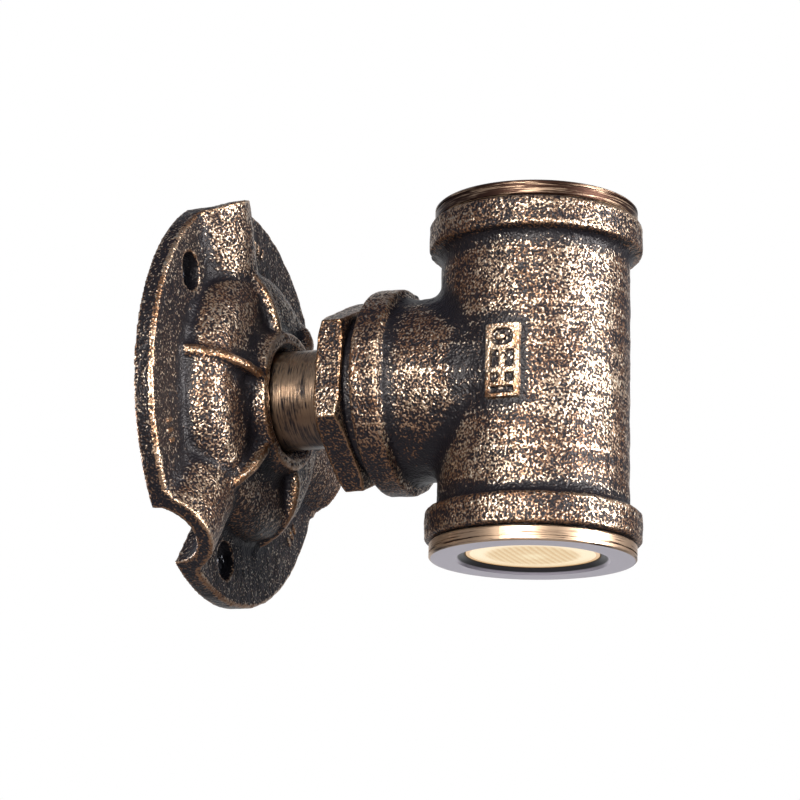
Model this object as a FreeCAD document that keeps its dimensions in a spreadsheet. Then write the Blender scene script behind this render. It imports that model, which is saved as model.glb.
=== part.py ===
"""Pipe wall light: a cast wall flange, a pipe nipple, a hex bushing and a banded tee.

Frame: the wall is the plane Y = 0 and the light stands out from it along -Y, with +Z up.
The origin is the centre of the flange's back face, on the axis of the pipe nipple.
Millimetres and degrees throughout.
"""
import FreeCAD, Part
import math
import os
import re
import Sketcher

SIZES = [
    # wall flange
    ("flange_radius", 50.0, "outer radius of the round wall plate"),
    ("plate_thickness", 4.7, "thickness of the wall plate at its rim"),
    ("rim_round", 1.0, "rounding of the plate's front edge"),
    ("flange_clocking", 21.7, "turn of the flange about the nipple, from one channel straight up"),
    ("channel_count", 3, "arched channels, mid ribs and screw holes round the flange"),
    ("dome_base_radius", 33.6, "radius where the dome meets the plate"),
    ("dome_base_round", 1.5, "fillet between the plate and the dome"),
    ("dome_shoulder_radius", 7.9, "section radius of the dome's round shoulder"),
    ("dome_crest_radius", 26.0, "radius at the end of the shoulder"),
    ("dome_crest_height", 13.5, "height of the dome above the wall at the end of the shoulder"),
    ("dome_valley_radius", 20.5, "radius where the dome starts to rise to the hub"),
    ("dome_valley_height", 14.15, "height above the wall where the dome starts to rise to the hub"),
    ("hub_flare_radius", 4.1, "section radius of the rise to the hub"),
    ("hub_radius", 16.9, "outer radius of the hub's face"),
    ("hub_height", 18.4, "height of the hub's face above the wall"),
    ("hub_edge_round", 0.7, "rounding of the hub's outer edge"),
    ("hub_mouth_radius", 14.6, "radius of the countersink at the hub's face"),
    ("hub_mouth_depth", 2.2, "depth of that countersink"),
    ("hub_wall", 3.75, "wall of the inner boss round the nipple's thread"),
    ("hub_back_height", 5.0, "height above the wall where the inner boss ends"),
    ("dome_wall", 3.6, "wall thickness of the cast dome"),
    ("hollow_corner_radius", 5.0, "section radius inside the dome's shoulder"),
    ("channel_start_radius", 22.0, "distance from the axis where a channel's arch starts, inside the dome"),
    ("channel_outer_radius", 12.1, "outer radius of a channel's arch"),
    ("channel_wall", 3.8, "wall of a channel's arch"),
    ("arch_root_round", 2.0, "fillet between an arch and the plate"),
    ("arch_root_sink", 0.15, "depth to which that fillet runs into the plate"),
    ("rib_width", 2.4, "width of the cast ribs"),
    ("rib_round", 0.9, "rounding of the ribs' crests"),
    ("rib_hub_height", 17.4, "height of the ribs where they run into the hub"),
    ("rib_hub_overlap", 1.0, "depth to which the ribs run into the hub"),
    ("crest_rib_reach", 33.0, "distance from the axis where a crest rib sinks into its channel"),
    ("crest_rib_start_height", 11.6, "height of a crest rib at that distance"),
    ("crest_rib_arc_radius", 21.8, "crest radius of a crest rib, side view"),
    ("mid_rib_reach", 36.3, "distance from the axis where a mid rib meets the plate"),
    ("mid_rib_arc_radius", 17.5, "crest radius of a mid rib, side view"),
    ("screw_circle_share", 0.42, "place of the wall screw holes from the dome's foot (0) to the rim (1)"),
    ("screw_hole_radius", 4.7, "radius of a wall screw hole"),
    # wiring in the flange
    ("terminal_corner_gap", 1.7, "gap between the terminal block's corners and the hollow's wall"),
    ("terminal_width_share", 0.72, "width of the terminal block as a share of the hollow outside the boss"),
    ("terminal_floor", 1.8, "height of the terminal block's open face above the wall"),
    ("terminal_ceiling", 8.0, "height above the wall of the cast pad that carries the terminal block"),
    ("terminal_boss_gap", 1.6, "gap between the terminal block and the flange's inner boss"),
    ("terminal_pitch_share", 0.32, "spacing of the three poles as a share of the block's length"),
    ("terminal_well_radius", 1.5, "radius of a clamping screw's well"),
    ("terminal_screw_length", 1.1, "length of a clamping screw"),
    ("terminal_entry_depth", 2.5, "depth of the wire entries"),
    ("pad_margin", 1.5, "inset of the cast pad from the terminal block's sides"),
    ("fixing_screw_radius", 1.2, "shank radius of the screw that holds the terminal block"),
    ("fixing_head_radius", 2.1, "head radius of that screw"),
    ("fixing_head_height", 1.4, "head height of that screw"),
    ("fixing_screw_depth", 3.5, "depth of that screw in the flange"),
    ("earth_angle", 345.0, "place of the earth screw round the nipple"),
    ("earth_boss_radius", 4.0, "radius of the cast boss for the earth screw"),
    ("earth_boss_height", 7.6, "height above the wall of that boss's face"),
    ("earth_screw_radius", 1.9, "shank radius of the earth screw"),
    ("earth_screw_depth", 4.5, "depth of the earth screw in its boss"),
    ("earth_head_radius", 3.4, "head radius of the earth screw"),
    ("earth_head_height", 2.3, "head height of the earth screw"),
    ("earth_lug_thickness", 0.8, "thickness of the ring lug"),
    ("earth_barrel_start", 3.6, "distance from the earth screw to the lug's barrel"),
    ("earth_barrel_length", 3.4, "length of the lug's barrel"),
    ("earth_barrel_radius", 1.3, "radius of the lug's barrel"),
    ("core_radius", 0.8, "radius of an insulated core"),
    ("core_spread", 1.0, "distance of a core from the axis inside the cable"),
    ("core_height", 3.9, "height of the cores above the wall, under the inner boss"),
    ("core_bend_height", 12.0, "height above the wall where the cores enter the cable's jacket"),
    ("core_straight", 3.0, "straight run of a core in front of the terminal block"),
    ("core_bend_radius", 4.4, "radius of a core's bend into the nipple"),
    ("cable_radius", 2.6, "radius of the cable's jacket"),
    # pipe nipple
    ("nipple_radius", 12.15, "outer radius of the pipe nipple"),
    ("nipple_wall", 2.9, "wall of the pipe nipple"),
    ("nipple_back_height", 6.0, "height above the wall of the nipple's inner end"),
    ("nipple_engagement", 13.0, "length of the nipple inside the bushing"),
    ("nipple_chamfer", 0.7, "chamfer of the nipple's ends"),
    ("thread_clearance", 0.05, "radial gap in screwed and pushed joints"),
    ("part_clearance", 0.3, "gap between pieces that move apart"),
    # hex bushing
    ("hex_distance", 32.9, "distance from the wall to the hexagon's rear face"),
    ("hex_thickness", 6.5, "thickness of the hexagon"),
    ("hex_across_flats", 41.9, "size of the hexagon across its flats"),
    ("hex_clocking", 24.9, "turn of the hexagon about the nipple"),
    ("hex_chamfer_width", 2.2, "width cut off the hexagon's corners at its faces"),
    ("hex_chamfer_height", 0.9, "height of that chamfer"),
    ("neck_length", 3.5, "length of bare thread between the hexagon and the tee"),
    ("bushing_thread_chamfer", 0.8, "chamfer at the end of the bushing's thread"),
    ("bushing_bore_length", 13.6, "length of the bushing's inner thread"),
    ("bushing_relief_radius", 16.0, "radius of the bushing's bore beyond the thread"),
    # tee fitting
    ("branch_length", 37.65, "distance from the run's axis to the face of the branch"),
    ("run_half_length", 38.6, "distance from the branch's axis to each face of the run"),
    ("run_body_radius", 22.5, "outer radius of the run between its bands"),
    ("run_band_radius", 25.4, "outer radius of the bands on the run"),
    ("run_band_width", 7.2, "width of the bands on the run"),
    ("branch_body_radius", 22.0, "outer radius of the branch"),
    ("branch_band_radius", 24.9, "outer radius of the band on the branch"),
    ("branch_band_width", 7.0, "width of the band on the branch"),
    ("band_edge_round", 0.8, "rounding of the bands' outer edges"),
    ("band_root_round", 1.6, "fillet between a band and the body"),
    ("saddle_round", 3.0, "fillet where the branch meets the run"),
    ("socket_radius", 19.4, "radius of the three threaded sockets"),
    ("socket_chamfer", 0.8, "chamfer at the mouth of a socket"),
    ("run_socket_depth", 14.6, "depth of the sockets in the run"),
    ("branch_socket_depth", 14.1, "depth of the socket in the branch"),
    ("tee_bore_radius", 17.6, "radius of the bores between the sockets"),
    # retaining rings
    ("ring_radius", 24.3, "outer radius of a retaining ring"),
    ("ring_gap", 0.4, "gap between a ring and the face of the tee"),
    ("ring_thickness", 3.6, "thickness of a ring outside the tee"),
    ("ring_edge_chamfer", 0.35, "chamfer of a ring's outer edges"),
    ("ring_groove_depth", 0.3, "depth of the turned groove round a ring"),
    ("ring_groove_width", 0.4, "width of that groove"),
    ("ring_groove_distance", 0.9, "distance of that groove from the ring's face"),
    ("ring_opening_radius", 17.65, "radius of the opening in a ring's face"),
    ("ring_bevel", 0.5, "bevel at the edge of that opening"),
    ("ring_lip_radius", 15.9, "radius of the lip round the lens"),
    ("ring_lip_depth", 1.3, "depth of the lip below the ring's face"),
    ("ring_lip_thickness", 1.0, "thickness of the lip"),
    ("ring_sleeve_wall", 1.8, "wall of a ring's threaded sleeve"),
    ("ring_sleeve_length", 8.6, "length of a ring's threaded sleeve"),
    # lenses and gaskets
    ("gasket_thickness", 0.6, "thickness of a lens gasket"),
    ("lens_face_depth", 1.4, "depth of the lens below the ring's face"),
    ("lens_flange_thickness", 1.8, "thickness of the lens's flange"),
    ("lens_shoulder_radius", 15.2, "radius of the lens's cone at its flange"),
    ("lens_base_radius", 7.0, "radius of the lens's cone at the light source"),
    ("lens_cavity_radius", 5.6, "radius of the hollow over the light source"),
    ("lens_cavity_depth", 5.5, "depth of that hollow"),
    # light engines
    ("sink_flange_thickness", 1.5, "thickness of a heat sink's flange"),
    ("sink_gap", 1.1, "gap between a heat sink's fins and the driver case"),
    ("sink_base_thickness", 4.6, "thickness of solid metal under a heat sink's flange"),
    ("sink_slot_width", 2.2, "width of the slots between the fins"),
    ("sink_slot_pitch", 4.0, "spacing of those slots"),
    ("sink_slot_count", 7, "number of slots"),
    ("board_radius", 15.5, "radius of a light board"),
    ("board_thickness", 1.5, "thickness of a light board"),
    ("chip_radius", 5.0, "radius of the light source on its board"),
    ("chip_height", 1.0, "height of the light source on its board"),
    ("board_screw_circle", 11.0, "distance of the board screws from the run's axis"),
    ("board_screw_radius", 1.2, "shank radius of a board screw"),
    ("board_screw_depth", 4.0, "depth of a board screw in the heat sink"),
    ("board_head_radius", 2.2, "head radius of a board screw"),
    ("board_head_height", 1.5, "head height of a board screw"),
    ("lead_radius", 0.6, "radius of a light board's lead"),
    ("lead_pitch", 2.2, "spacing of a board's two leads"),
    ("lead_distance", 12.4, "distance of the leads from the run's axis, towards the wall"),
    ("lead_rise", 0.6, "height of the middle of a lead's tail above its board"),
    ("lead_tail", 4.0, "length of a lead's tail along its board"),
    ("lead_bend_radius", 1.5, "radius of a lead's last bend"),
    ("lead_start", 7.0, "distance from the branch's axis where the leads start"),
    ("lead_hole_margin", 0.5, "room round the leads in the pieces that they pass"),
    # driver
    ("driver_flange_thickness", 1.5, "thickness of the driver case's flange"),
    ("driver_radius", 13.5, "outer radius of the driver case"),
    ("driver_length", 33.0, "length of the driver case beyond its flange"),
    ("driver_wall", 1.2, "wall of the driver case"),
    ("driver_cover_radius", 15.5, "radius of the driver's cover"),
    ("driver_cover_thickness", 1.5, "thickness of the driver's cover"),
    ("driver_spigot_length", 1.6, "length of the cover's spigot in the case"),
    ("driver_board_offset", 3.2, "distance of the board's component side from the nipple's axis"),
    ("driver_board_thickness", 1.6, "thickness of the driver's board"),
    ("driver_board_gap", 0.9, "gap between the driver's board and the case's end"),
    ("driver_terminal_length", 5.5, "length of the driver's input terminal"),
    ("driver_terminal_width", 8.0, "width of the driver's input terminal"),
    ("driver_terminal_height", 6.4, "height of the driver's input terminal"),
    ("transformer_length", 11.0, "length of the driver's transformer"),
    ("transformer_width", 10.0, "width of the driver's transformer"),
    ("transformer_height", 9.0, "height of the driver's transformer"),
    ("transformer_inset", 3.0, "distance of the transformer from the board's far end"),
    ("bobbin_step", 1.6, "step between the transformer's core and its winding"),
    ("capacitor_radius", 3.1, "radius of the driver's capacitor"),
    ("capacitor_height", 10.0, "height of the driver's capacitor"),
    ("capacitor_side", 3.6, "distance of the capacitor from the board's middle line"),
    ("choke_radius", 2.4, "radius of the driver's choke"),
    ("choke_height", 7.0, "height of the driver's choke"),
    ("choke_side", 3.2, "distance of the choke from the board's middle line"),
    ("cut_margin", 2.0, "length by which a cutting shape runs past the piece"),
]
NAMES = [name for name, size, meaning in SIZES]
TURNS = {"left": 1, "right": -1}

# places that several pieces share, each worked out from the sizes above
RUN_AXIS = "(hex_distance + hex_thickness + neck_length + branch_length)"
BRANCH_FACE = "(hex_distance + hex_thickness + neck_length)"
BRANCH_SHOULDER = "(" + BRANCH_FACE + " + branch_socket_depth)"
BUSHING_END = "(" + BRANCH_SHOULDER + " - driver_flange_thickness)"
HOLLOW_RADIUS = "(dome_base_radius - dome_wall)"
HOLLOW_HEIGHT = "(dome_crest_height - dome_wall)"
BOSS_RADIUS = "(nipple_radius + hub_wall)"
TERMINAL_FRONT = "(" + BOSS_RADIUS + " + terminal_boss_gap)"
TERMINAL_WIDTH = "(terminal_width_share * (" + HOLLOW_RADIUS + " - " + TERMINAL_FRONT + "))"
TERMINAL_BACK = "(" + TERMINAL_FRONT + " + " + TERMINAL_WIDTH + ")"
TERMINAL_MIDDLE = "(" + TERMINAL_FRONT + " + " + TERMINAL_WIDTH + " / 2)"
TERMINAL_HALF_LENGTH = "sqrt((" + HOLLOW_RADIUS + " - terminal_corner_gap)^2 - " + TERMINAL_BACK + "^2)"
TERMINAL_PITCH = "(terminal_pitch_share * 2 * " + TERMINAL_HALF_LENGTH + ")"
WELL_MIDDLE = "(" + TERMINAL_FRONT + " + " + TERMINAL_WIDTH + " / 4)"
EARTH_CIRCLE = "((" + BOSS_RADIUS + " + " + HOLLOW_RADIUS + ") / 2)"
SCREW_CIRCLE = "(dome_base_radius + screw_circle_share * (flange_radius - dome_base_radius))"
RUN_SHOULDER = "(run_half_length - run_socket_depth)"
SINK_LENGTH = "(" + RUN_SHOULDER + " - driver_radius - sink_gap)"
SINK_TOP = "(" + RUN_SHOULDER + " + sink_flange_thickness)"
BOARD_TOP = "(" + SINK_TOP + " + board_thickness)"
RING_BACK = "(run_half_length + ring_gap)"
RING_FACE = "(" + RING_BACK + " + ring_thickness)"
LIP_BACK = "(" + RING_FACE + " - ring_lip_depth - ring_lip_thickness)"
SLEEVE_RADIUS = "(socket_radius - thread_clearance)"
SEAT_RADIUS = "(" + SLEEVE_RADIUS + " - ring_sleeve_wall)"
GASKET_TOP = "(" + LIP_BACK + " - part_clearance)"
LENS_FLANGE_TOP = "(" + GASKET_TOP + " - gasket_thickness)"
LENS_FLANGE_RADIUS = "(" + SEAT_RADIUS + " - part_clearance)"
LENS_WINDOW_RADIUS = "(ring_lip_radius - part_clearance)"
DRIVER_BORE = "(driver_radius - driver_wall)"
CABLE_END = "(" + BRANCH_SHOULDER + " + driver_spigot_length)"
DRIVER_BOARD_LENGTH = ("(driver_length - driver_wall - driver_spigot_length"
                       " - part_clearance - driver_board_gap)")
DRIVER_BOARD_HALF_WIDTH = ("sqrt((" + DRIVER_BORE + " - part_clearance)^2"
                           " - (driver_board_offset + driver_board_thickness)^2)")
CAPACITOR_PLACE = ("((" + DRIVER_BOARD_LENGTH + " - transformer_inset - transformer_length"
                   " + driver_terminal_length) / 2)")
WELL_DEPTH = "(core_height - core_radius - terminal_floor)"
LUG_MIDDLE = "(earth_boss_height - earth_barrel_radius)"

doc = FreeCAD.newDocument("pipe_wall_light")
sheet = doc.addObject("Spreadsheet::Sheet", "dims")
for row, (name, size, meaning) in enumerate(SIZES, start=1):
    sheet.set(f"A{row}", meaning)
    sheet.set(f"B{row}", str(size))
    sheet.setAlias(f"B{row}", name)
doc.recompute()


def formula(text):
    """Point every size named in the text at its cell in the sheet."""
    return re.sub(r"[a-z][a-z_]+", lambda word: "dims." + word[0] if word[0] in NAMES else word[0], text)


def amount(text):
    """The number that a formula gives now."""
    return float(sheet.evalExpression(formula(text)))


def bind(item, path, text):
    """Tie a property of the item to the sheet."""
    item.setExpression(path, formula(text))


def new_body(name, x="0", y="0", z="0"):
    """An empty body with its own label and a placement tied to the sheet."""
    body = doc.addObject("PartDesign::Body", name)
    body.Label = name
    body.AllowCompound = True
    for letter, text in zip("xyz", (x, y, z)):
        bind(body, f"Placement.Base.{letter}", text)
    return body


def turn_body(body, axis, text):
    """Turn a body about an axis through its own origin."""
    body.Placement.Rotation = FreeCAD.Rotation(FreeCAD.Vector(*axis), amount(text))
    for letter, value in zip("xyz", axis):
        body.setExpression(f"Placement.Rotation.Axis.{letter}", str(value))
    bind(body, "Placement.Rotation.Angle", text)


def new_sketch(body, name, role, offset="0"):
    """A sketch on one of the body's own origin planes, moved along the plane's normal."""
    sketch = body.newObject("Sketcher::SketchObject", name)
    plane = [item for item in body.Origin.OriginFeatures if item.Role == role][0]
    sketch.AttachmentSupport = (plane, [""])
    sketch.MapMode = "FlatFace"
    bind(sketch, "AttachmentOffset.Base.z", offset)
    return sketch


def pin(sketch, edge, point, x, y):
    """Hold a point of the sketch at a place tied to the sheet."""
    for kind, axis, text in (("DistanceX", -2, x), ("DistanceY", -1, y)):
        if text == "0":
            sketch.addConstraint(Sketcher.Constraint("PointOnObject", edge, point, axis))
        else:
            number = sketch.addConstraint(Sketcher.Constraint(kind, edge, point, amount(text)))
            bind(sketch, f"Constraints[{number}]", text)


def hold_radius(sketch, edge, text):
    """Hold the radius of an arc or circle at a size tied to the sheet."""
    number = sketch.addConstraint(Sketcher.Constraint("Radius", edge, amount(text)))
    bind(sketch, f"Constraints[{number}]", text)


def short_arc(start, end, radius, turn):
    """The shorter arc of a circle between two points, counter-clockwise for turn 1, else clockwise."""
    chord = end - start
    rise = math.sqrt(max(radius ** 2 - chord.Length ** 2 / 4, 0.0))
    left = FreeCAD.Vector(-chord.y, chord.x, 0) / chord.Length
    centre = (start + end) / 2 + left * rise * turn
    first, last = (start, end) if turn > 0 else (end, start)
    angles = [math.atan2(point.y - centre.y, point.x - centre.x) for point in (first, last)]
    return Part.ArcOfCircle(Part.Circle(centre, FreeCAD.Vector(0, 0, 1), radius), angles[0], angles[1])


def outline(sketch, corners):
    """A closed outline: each corner is (x, y), or (x, y, radius, turn) where an arc leaves it."""
    spots = [FreeCAD.Vector(amount(corner[0]), amount(corner[1]), 0) for corner in corners]
    edges = []
    for number, corner in enumerate(corners):
        start = spots[number]
        end = spots[(number + 1) % len(spots)]
        if len(corner) == 2:
            edges.append((sketch.addGeometry(Part.LineSegment(start, end)), 1, 2))
            continue
        turn = TURNS[corner[3]]
        edge = sketch.addGeometry(short_arc(start, end, amount(corner[2]), turn))
        edges.append((edge, 1, 2) if turn > 0 else (edge, 2, 1))
    for number, (edge, start, end) in enumerate(edges):
        following = edges[(number + 1) % len(edges)]
        sketch.addConstraint(Sketcher.Constraint("Coincident", edge, end, following[0], following[1]))
        pin(sketch, edge, start, corners[number][0], corners[number][1])
        if len(corners[number]) > 2:
            hold_radius(sketch, edge, corners[number][2])
    return sketch


def half_disc(sketch, radius):
    """A half disc on the side of negative y, with its centre at the origin."""
    size = amount(radius)
    circle = Part.Circle(FreeCAD.Vector(0, 0, 0), FreeCAD.Vector(0, 0, 1), size)
    arc = sketch.addGeometry(Part.ArcOfCircle(circle, math.pi, 2 * math.pi))
    base = sketch.addGeometry(Part.LineSegment(FreeCAD.Vector(size, 0, 0), FreeCAD.Vector(-size, 0, 0)))
    sketch.addConstraint(Sketcher.Constraint("Coincident", arc, 2, base, 1))
    sketch.addConstraint(Sketcher.Constraint("Coincident", base, 2, arc, 1))
    sketch.addConstraint(Sketcher.Constraint("Coincident", arc, 3, -1, 1))
    sketch.addConstraint(Sketcher.Constraint("Horizontal", base))
    hold_radius(sketch, arc, radius)
    return sketch


def disc(sketch, x, y, radius):
    """A full circle."""
    centre = FreeCAD.Vector(amount(x), amount(y), 0)
    circle = Part.Circle(centre, FreeCAD.Vector(0, 0, 1), amount(radius))
    edge = sketch.addGeometry(circle)
    pin(sketch, edge, 3, x, y)
    hold_radius(sketch, edge, radius)
    return sketch


def box_outline(sketch, left, bottom, right, top):
    """A rectangle with sides along the sketch's axes."""
    return outline(sketch, [(left, bottom), (right, bottom), (right, top), (left, top)])


def revolve(body, sketch, name, kind="PartDesign::Revolution"):
    """Turn a sketch once round its own vertical axis."""
    feature = body.newObject(kind, name)
    feature.Profile = sketch
    feature.ReferenceAxis = (sketch, ["V_Axis"])
    feature.Angle = 360
    doc.recompute()
    return feature


def groove(body, sketch, name):
    """Cut a ring out of the body."""
    return revolve(body, sketch, name, "PartDesign::Groove")


def pad(body, sketch, name, length, symmetric=False):
    """Add a prism along the sketch's normal, or half of it to each side."""
    feature = body.newObject("PartDesign::Pad", name)
    feature.Profile = sketch
    feature.SideType = "Symmetric" if symmetric else "One side"
    bind(feature, "Length", length)
    doc.recompute()
    return feature


def pocket(body, sketch, name, length):
    """Cut a prism along the sketch's normal."""
    feature = body.newObject("PartDesign::Pocket", name)
    feature.Profile = sketch
    feature.Reversed = True
    bind(feature, "Length", length)
    doc.recompute()
    return feature


def repeat_round(body, features, name, role, count):
    """Repeat features round one of the body's axes."""
    pattern = body.newObject("PartDesign::PolarPattern", name)
    pattern.Originals = features
    axis = [item for item in body.Origin.OriginFeatures if item.Role == role][0]
    pattern.Axis = (axis, [""])
    pattern.Angle = 360
    bind(pattern, "Occurrences", count)
    body.Tip = pattern
    doc.recompute()
    return pattern


def soften(body, name, radius, chosen):
    """Round the edges of the body so far for which chosen(edge) holds."""
    base = body.Tip
    names = [f"Edge{number}" for number, edge in enumerate(base.Shape.Edges, 1) if chosen(edge)]
    feature = body.newObject("PartDesign::Fillet", name)
    feature.Base = (base, names)
    bind(feature, "Radius", radius)
    doc.recompute()
    return feature


def is_circle(edge, radius):
    """Whether an edge lies on a circle of the given radius."""
    return isinstance(edge.Curve, Part.Circle) and abs(edge.Curve.Radius - amount(radius)) < 1e-6


def near(value, text):
    """Whether a coordinate equals a formula's number."""
    return abs(value - amount(text)) < 1e-6


def turned_piece(name, role, corners, **place):
    """A body turned from one outline: about Y on the XY plane, about Z on the XZ plane."""
    body = new_body(name, **place)
    revolve(body, outline(new_sketch(body, name + "_outline", role), corners), name + "_turned")
    return body


def wall_flange():
    """Cast plate with a ribbed dome, a hub and arched channels that open through the rim.

    It is drawn with one channel straight up, then turned as a whole.
    """
    body = new_body("wall_flange")
    turn_body(body, (0, -1, 0), "flange_clocking")
    revolve(body, outline(new_sketch(body, "flange_section", "XY_Plane"), [
        ("0", "0"),
        ("flange_radius", "0"),
        ("flange_radius", "-plate_thickness"),
        ("dome_base_radius + dome_base_round", "-plate_thickness", "dome_base_round", "left"),
        ("dome_base_radius", "-plate_thickness - dome_base_round", "dome_shoulder_radius", "right"),
        ("dome_crest_radius", "-dome_crest_height"),
        ("dome_valley_radius", "-dome_valley_height", "hub_flare_radius", "left"),
        ("hub_radius", "hub_edge_round - hub_height", "hub_edge_round", "right"),
        ("hub_radius - hub_edge_round", "-hub_height"),
        ("0", "-hub_height"),
    ]), "flange_solid")
    channels(body)
    ribs(body)
    round_casting(body)
    hollow_casting(body)
    carry_wiring(body)
    return body


def channels(body):
    """Solid half-round arches on the wall plane, cut off at the plate's rim."""
    floor = "(plate_thickness - arch_root_sink)"
    foot = f"sqrt((channel_outer_radius + arch_root_round)^2 - ({floor} + arch_root_round)^2)"
    share = "channel_outer_radius / (channel_outer_radius + arch_root_round)"
    shoulder = f"{foot} * {share}"
    shoulder_height = f"-({floor} + arch_root_round) * {share}"
    arch = outline(new_sketch(body, "arch_section", "XY_Plane", "channel_start_radius"), [
        ("-" + foot, "-" + floor, "arch_root_round", "left"),
        ("-" + shoulder, shoulder_height, "channel_outer_radius", "left"),
        (shoulder, shoulder_height, "arch_root_round", "left"),
        (foot, "-" + floor),
        (foot, "-plate_thickness / 2"),
        ("-" + foot, "-plate_thickness / 2"),
    ])
    feature = pad(body, arch, "arch", "flange_radius - channel_start_radius")
    repeat_round(body, [feature], "arches", "Y_Axis", "channel_count")
    groove(body, box_outline(new_sketch(body, "rim_cut_section", "XY_Plane"),
                             "flange_radius", "-channel_outer_radius - cut_margin",
                             "flange_radius + cut_margin", "cut_margin"), "rim_cut")


def ribs(body):
    """Crest ribs from the hub to each channel, and mid ribs from the hub to the plate between them."""
    hub_end = "hub_radius - rib_hub_overlap"
    crest = outline(new_sketch(body, "crest_rib_side", "YZ_Plane"), [
        ("-crest_rib_start_height", "crest_rib_reach", "crest_rib_arc_radius", "left"),
        ("-rib_hub_height", hub_end),
        ("-plate_thickness", hub_end),
        ("-plate_thickness", "crest_rib_reach"),
    ])
    middle = outline(new_sketch(body, "mid_rib_side", "YZ_Plane"), [
        ("-plate_thickness / 2", "-mid_rib_reach", "mid_rib_arc_radius", "right"),
        ("-rib_hub_height", "-hub_radius + rib_hub_overlap"),
        ("-plate_thickness / 2", "-hub_radius + rib_hub_overlap"),
    ])
    features = [pad(body, crest, "crest_rib", "rib_width", symmetric=True),
                pad(body, middle, "mid_rib", "rib_width", symmetric=True)]
    repeat_round(body, features, "ribs", "Y_Axis", "channel_count")


def round_casting(body):
    """Soft crests on the ribs and a soft front edge round the rim."""
    soften(body, "rib_crests", "rib_round", lambda edge:
           is_circle(edge, "crest_rib_arc_radius") or is_circle(edge, "mid_rib_arc_radius"))
    soften(body, "rim_edge", "rim_round", lambda edge:
           is_circle(edge, "flange_radius") and near(edge.Curve.Center.y, "-plate_thickness"))


def hollow_casting(body):
    """The hollow behind the dome, the channels' passages, the nipple's bore and the screw holes."""
    hollow = outline(new_sketch(body, "hollow_section", "XY_Plane"), [
        ("0", "cut_margin"),
        (HOLLOW_RADIUS, "cut_margin"),
        (HOLLOW_RADIUS, "hollow_corner_radius - " + HOLLOW_HEIGHT, "hollow_corner_radius", "right"),
        (HOLLOW_RADIUS + " - hollow_corner_radius", "-" + HOLLOW_HEIGHT),
        (BOSS_RADIUS, "-" + HOLLOW_HEIGHT),
        (BOSS_RADIUS, "-hub_back_height"),
        ("0", "-hub_back_height"),
    ])
    groove(body, hollow, "hollow")
    passage = half_disc(new_sketch(body, "passage_section", "XY_Plane", "channel_start_radius"),
                        "channel_outer_radius - channel_wall")
    cut = pocket(body, passage, "passage", "flange_radius + cut_margin - channel_start_radius")
    repeat_round(body, [cut], "passages", "Y_Axis", "channel_count")
    bore = "nipple_radius + thread_clearance"
    groove(body, outline(new_sketch(body, "nipple_bore_section", "XY_Plane"), [
        ("0", "0"),
        (bore, "0"),
        (bore, "hub_mouth_depth - hub_height"),
        ("hub_mouth_radius", "-hub_height"),
        ("hub_mouth_radius", "-hub_height - cut_margin"),
        ("0", "-hub_height - cut_margin"),
    ]), "nipple_bore")
    hole = disc(new_sketch(body, "screw_hole_place", "XZ_Plane"),
                "-" + SCREW_CIRCLE + " * sin(180 / channel_count / 2)",
                SCREW_CIRCLE + " * cos(180 / channel_count / 2)", "screw_hole_radius")
    cut = pocket(body, hole, "screw_hole", "plate_thickness + dome_crest_height")
    repeat_round(body, [cut], "screw_holes", "Y_Axis", "channel_count")


def carry_wiring(body):
    """Cast pad and boss in the hollow, with the threads of the terminal block's and earth screws."""
    seat = box_outline(new_sketch(body, "terminal_pad_place", "XZ_Plane", "terminal_ceiling"),
                       "pad_margin - " + TERMINAL_HALF_LENGTH, "pad_margin - " + TERMINAL_BACK,
                       TERMINAL_HALF_LENGTH + " - pad_margin", "-pad_margin - " + TERMINAL_FRONT)
    pad(body, seat, "terminal_pad", HOLLOW_HEIGHT + " + dome_wall / 2 - terminal_ceiling")
    place = (EARTH_CIRCLE + " * cos(earth_angle)", EARTH_CIRCLE + " * sin(earth_angle)")
    boss = disc(new_sketch(body, "earth_boss_place", "XZ_Plane", "earth_boss_height"), *place,
                "earth_boss_radius")
    pad(body, boss, "earth_boss", HOLLOW_HEIGHT + " + dome_wall / 2 - earth_boss_height")
    thread = disc(new_sketch(body, "earth_thread_place", "XZ_Plane", "earth_boss_height"), *place,
                  "earth_screw_radius + thread_clearance")
    pocket(body, thread, "earth_thread", "earth_screw_depth")
    thread = disc(new_sketch(body, "fixing_thread_place", "XZ_Plane", "terminal_ceiling"),
                  TERMINAL_PITCH + " / 2", "-" + TERMINAL_MIDDLE, "fixing_screw_radius + thread_clearance")
    pocket(body, thread, "fixing_thread", "fixing_screw_depth")


def pipe_nipple():
    """Straight pipe, screwed into the hub and into the bushing."""
    inner = "nipple_radius - nipple_wall"
    end = "-hex_distance - nipple_engagement"
    return turned_piece("pipe_nipple", "XY_Plane", [
        (inner, "-nipple_back_height"),
        ("nipple_radius - nipple_chamfer", "-nipple_back_height"),
        ("nipple_radius", "-nipple_back_height - nipple_chamfer"),
        ("nipple_radius", end + " + nipple_chamfer"),
        ("nipple_radius - nipple_chamfer", end),
        (inner, end),
    ])


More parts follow.
